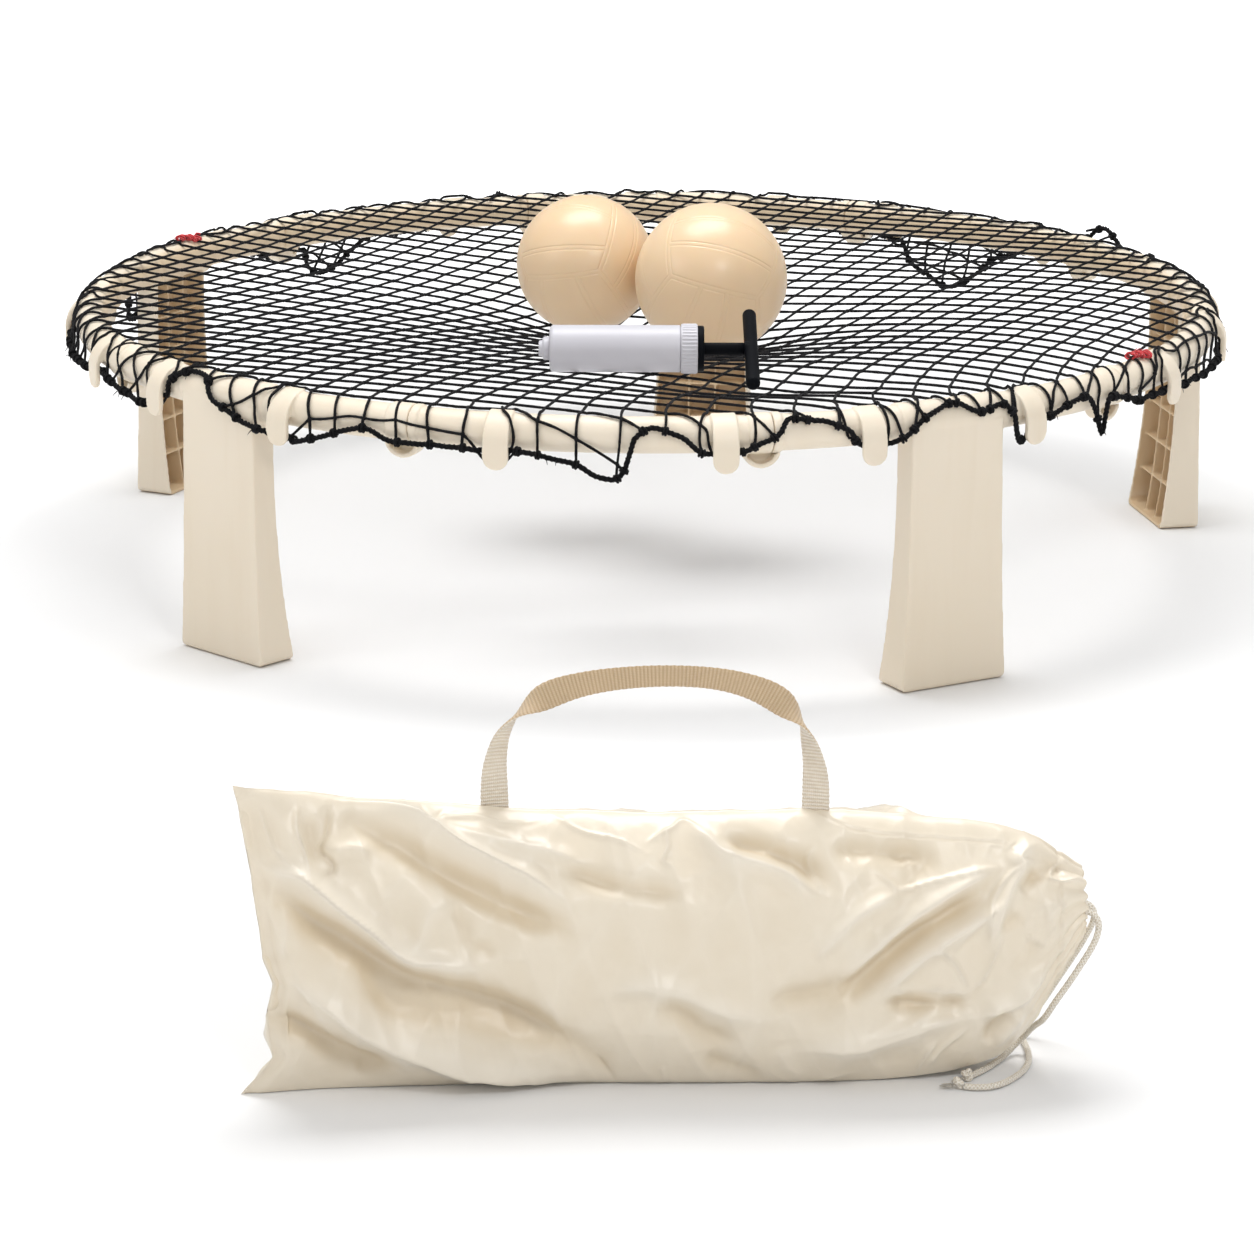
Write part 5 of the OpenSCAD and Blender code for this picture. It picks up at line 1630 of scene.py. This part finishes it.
def slack_cloth(nx, na):
    """A coarse copy of the shell is let loose as cloth with a little more cloth than it needs and a little air:
    it buckles as nylon does. Returns how far each point moved, capped."""
    P = bag_shell(nx, na)
    n, m = P.shape[:2]
    i, k = np.meshgrid(np.arange(n - 1), np.arange(m), indexing="ij")
    F = np.stack([i * m + k, (i + 1) * m + k, (i + 1) * m + (k + 1) % m, i * m + (k + 1) % m], -1).reshape(-1, 4)
    N = grid_normals(P)
    start = P + N * (0.9 * crumple(P.reshape(-1, 3), 5, 30).reshape(n, m) - 1.0)[..., None]
    o = make("tmp_cloth", start.reshape(-1, 3), F, M_SATIN, None)
    vg = o.vertex_groups.new(name="pin")
    hold = np.maximum.reduce([1 - smoothstep(0, 3, np.arange(n))[:, None] + 0 * P[..., 2], smoothstep(n - 4, n - 1, np.arange(n))[:, None] + 0 * P[..., 2],
                              1 - smoothstep(0.2, 4, P[..., 2])])
    for idx, wgt in enumerate(hold.ravel()):
        if wgt > 0.02:
            vg.add([idx], float(wgt), "REPLACE")
    c = o.modifiers.new("cloth", "CLOTH")
    st = c.settings
    st.quality = 6
    st.mass = 0.12
    st.tension_stiffness = st.compression_stiffness = 22
    st.shear_stiffness = 6
    st.bending_stiffness = 0.35
    st.air_damping = 2.5
    st.use_pressure = True
    st.uniform_pressure_force = 2.2
    st.effector_weights.gravity = 0
    st.shrink_min = -0.04
    st.shrink_max = -0.04
    st.vertex_group_mass = "pin"
    c.collision_settings.use_collision = False
    c.collision_settings.use_self_collision = False
    for f in range(1, 23):
        scene.frame_set(f)
    dg = bpy.context.evaluated_depsgraph_get()
    ev = o.evaluated_get(dg)
    me = ev.to_mesh()
    co = np.zeros(len(me.vertices) * 3)
    me.vertices.foreach_get("co", co)
    ev.to_mesh_clear()
    scene.frame_set(1)
    base = o.data
    bpy.data.objects.remove(o)
    bpy.data.meshes.remove(base)
    D = co.reshape(n, m, 3) / MM - P
    D = np.where(np.isfinite(D), D, 0)
    size = np.linalg.norm(D, axis=-1, keepdims=True)
    cap = 5.0
    D = D * (cap * np.tanh(size / cap) / np.maximum(size, 1e-6))
    for _ in range(4):                            # the grid's own ripple is not cloth
        D = (np.roll(D, 1, 1) + 2 * D + np.roll(D, -1, 1)) / 4
        E = np.concatenate([D[:1], D, D[-1:]])
        D = (E[:-2] + 2 * D + E[2:]) / 4
    return D


def upsample(D, nx, na):
    """A coarse periodic grid of moves, read smoothly at a finer one."""
    n, m = D.shape[:2]

    def cubic(A, pos, axis, wrap):
        L = A.shape[axis]
        i = np.floor(pos).astype(int)
        t = (pos - i).reshape([-1 if a == axis else 1 for a in range(A.ndim)])
        take = lambda j: np.take(A, j % L if wrap else np.clip(j, 0, L - 1), axis=axis)
        a, b, c, d = take(i - 1), take(i), take(i + 1), take(i + 2)
        return 0.5 * (2 * b + (c - a) * t + (2 * a - 5 * b + 4 * c - d) * t * t + (3 * b - a - 3 * c + d) * t ** 3)

    D = cubic(D, np.linspace(0, n - 1, nx), 0, False)
    return cubic(D, np.arange(na) * m / na, 1, True)


def build_bag():
    nx, na = 400, 300
    P = bag_shell(nx, na)
    flat = P.reshape(-1, 3)
    move = upsample(slack_cloth(116, 88), nx, na)
    x = P[..., 0]
    turn = np.broadcast_to((np.arange(na) / na * 2 * math.pi)[None], (nx, na))
    calm = 0.55 * (1 - 0.95 * np.exp(-((turn - math.pi / 2) / 0.6) ** 2))      # the top edge is a taut sewn fold
    calm = calm * smoothstep(1, 26, P[..., 2])
    P = P + move * (calm * smoothstep(-222, -196, x) * (1 - smoothstep(195, 228, x)))[..., None]
    N = grid_normals(P)
    front = smoothstep(0.02, 0.30, -N[..., 1] + 0.42 * np.maximum(N[..., 2], 0)).ravel()
    rear = smoothstep(0.10, 0.45, N[..., 1]).ravel()
    under = (1 - smoothstep(0.5, 5.0, P[..., 2])).ravel()
    Qf = to_view(P.reshape(-1, 3))
    mirror = P.reshape(-1, 3).copy()
    mirror[:, 1] = 2 * BAG_Y - mirror[:, 1]
    mirror[:, 0] = -mirror[:, 0] + 6
    Qb = to_view(mirror)
    h = np.zeros(len(flat))
    mf = front > 0.01
    h[mf] = fold_height(Qf[mf]) * front[mf]
    mb = rear > 0.01
    h[mb] += 0.85 * fold_height(Qb[mb]) * rear[mb]
    small = crumple(flat * np.array([0.8, 0.6, 1.15]), 12, 13)
    fine = crumple(flat, 7, 5.5)
    X = P[..., 0].ravel()
    Z = P[..., 2].ravel()
    # nylon breaks into flat facets with firm lines between them
    facets = crumple(flat * np.array([0.75, 0.5, 1.2]), 31, 34, 9)
    h += 0.7 * facets + 0.13 * small + 0.03 * fine
    over = np.broadcast_to((np.arange(na) / na * 2 * math.pi)[None], (nx, na)).ravel() - math.pi / 2
    h *= 1 - 0.7 * np.exp(-(over / 0.3) ** 2)     # the top edge is sewn and taut
    # gathers that run into the mouth
    a = np.broadcast_to((np.arange(na) / na * 2 * math.pi)[None], (nx, na)).ravel()
    g = smoothstep(190, 231, X)
    pleat = np.abs(np.sin(a * 9 + 0.8 * np.sin(a * 2 + 1) + 0.012 * (X - 200) * np.sin(3 * a))) ** 1.4
    h += g * 2.2 * (pleat - 0.45)
    # hem channel of the drawstring, stitched 14 mm back from the mouth
    h += 0.7 * smoothstep(217, 218.2, X) - 0.75 * np.exp(-((X - 217) / 0.8) ** 2)
    # sewn end on the left: a pressed edge, a stitch line 6 mm in
    end_x = np.interp(Z, [-5, 0, 8, 21, 33, 45, 63, 77, 108, 127, 150, 163, 176.0],
                      [-223, -222, -215, -204.5, -206, -207.5, -203.5, -208.5, -212, -214, -217.5, -219.5, -222.5])
    inn = X - end_x
    h -= 0.3 * np.exp(-((inn - 6.0) / 0.7) ** 2) * (np.abs(P[..., 1].ravel()) > 0)
    h += 0.25 * np.sin(Z / 2.1) * np.exp(-(inn / 4.5) ** 2)
    # seam along the top edge, and the long seam on the front with its bar tack
    ridge = np.abs(((a - math.pi / 2) + math.pi) % (2 * math.pi) - math.pi)
    h += 0.5 * np.exp(-(ridge / 0.02) ** 2)
    d, t = line_distance(Qf[mf], SEAM)
    seam = np.zeros(len(flat))
    seam[mf] = -0.4 * np.exp(-(d / 1.1) ** 2) + 0.22 * smoothstep(0.6, 2.0, d) * (1 - smoothstep(3.6, 5.0, d))
    seam[mf] *= smoothstep(0, 0.05, t) * (1 - smoothstep(0.97, 1.0, t))
    h += seam * front
    tack = np.zeros(len(flat))
    q = Qf[mf] - np.array([1009.0, 846.0])
    for ang in (0.95, -0.75):
        u = q @ np.array([math.cos(ang), math.sin(ang)])
        v = q @ np.array([-math.sin(ang), math.cos(ang)])
        tack[mf] += np.exp(-(v / 1.0) ** 2) * (1 - smoothstep(5.5, 7.5, np.abs(u))) * 0.7
    h += tack * front
    # a crumpled lining patch that shows beside the mouth
    patch = np.zeros(len(flat))
    near = mf & (np.abs(Qf - PATCH.mean(0)).max(1) < 45)
    patch[near] = in_patch(Qf[near])
    h += patch * front * (0.8 + 0.2 * crumple(flat, 3, 2.2, 18))
    h = h * (1 - 0.85 * under) * (1 - 0.6 * (1 - smoothstep(3, 14, Z)))
    keep = h.copy()
    P = P.reshape(-1, 3) + N.reshape(-1, 3) * h[:, None]
    P[:, 2] = np.maximum(P[:, 2], 0.15)
    # rim of the mouth: rolled over and drawn shut, row by row, to a small pleated hole
    P = P.reshape(nx, na, 3)
    rows = [P]
    rim = P[-1]
    c = rim.mean(0)
    for step, (dx, sc) in enumerate([(0.9, 0.965), (1.1, 0.91), (0.6, 0.84), (-1.2, 0.74), (-4, 0.60), (-8, 0.45), (-13, 0.33), (-18, 0.24)]):
        r = c + (rim - c) * sc
        pl = np.abs(np.sin(np.arange(na) / na * 2 * math.pi * 9 + 0.9)) ** 1.2
        r = r + unit(rim - c) * ((pl - 0.5) * min(2.6, 0.5 + step * 0.4))[:, None] * sc
        r[:, 0] = rim[:, 0] + dx + 0.8 * (pl - 0.5)
        rows.append(r[None])
    V = np.concatenate(rows)
    n = len(V)
    m = na
    i, k = np.meshgrid(np.arange(n - 1), np.arange(m), indexing="ij")
    F = np.stack([i * m + k, (i + 1) * m + k, (i + 1) * m + (k + 1) % m, i * m + (k + 1) % m], -1).reshape(-1, 4)
    # the sewn end is zipped shut, front to back; the bottom of the mouth closes on a middle point
    V2 = np.concatenate([V.reshape(-1, 3), V[-1].mean(0)[None]])
    kk = np.arange(m)
    B = len(V2) - 1
    q = m // 4
    j = np.arange(-q + 1, q - 1)
    zipped = np.stack([j % m, (j + 1) % m, (m // 2 - j - 1) % m, (m // 2 - j) % m], -1)
    caps = np.concatenate([np.stack([np.full(m, B), (n - 1) * m + (kk + 1) % m, (n - 1) * m + kk], -1),
                           [[q - 1, q, q + 1], [3 * q, 3 * q + 1, 3 * q - 1]]])
    vol = (V2[F[:, 0]] * np.cross(V2[F[:, 1]], V2[F[:, 2]])).sum()
    if vol < 0:
        F, caps, zipped = F[:, ::-1], caps[:, ::-1], zipped[:, ::-1]
    o = make("bag_satin_body", V2, [F, zipped, caps], M_SATIN, "bag", ["bag_body"])
    # how deep each point lies in the folds, which sets the painted shade in the hollows and the painted highlight on
    # the crests
    fold_painted_light_level = np.clip(0.5 + keep / 12.0, 0, 1)
    fold_painted_light_level = np.concatenate([fold_painted_light_level, np.full(len(V2) - len(fold_painted_light_level), 0.35)])
    at = o.data.attributes.new("fold_painted_light", "FLOAT", "POINT")
    at.data.foreach_set("value", fold_painted_light_level.astype(np.float32))
    return o


build_bag()
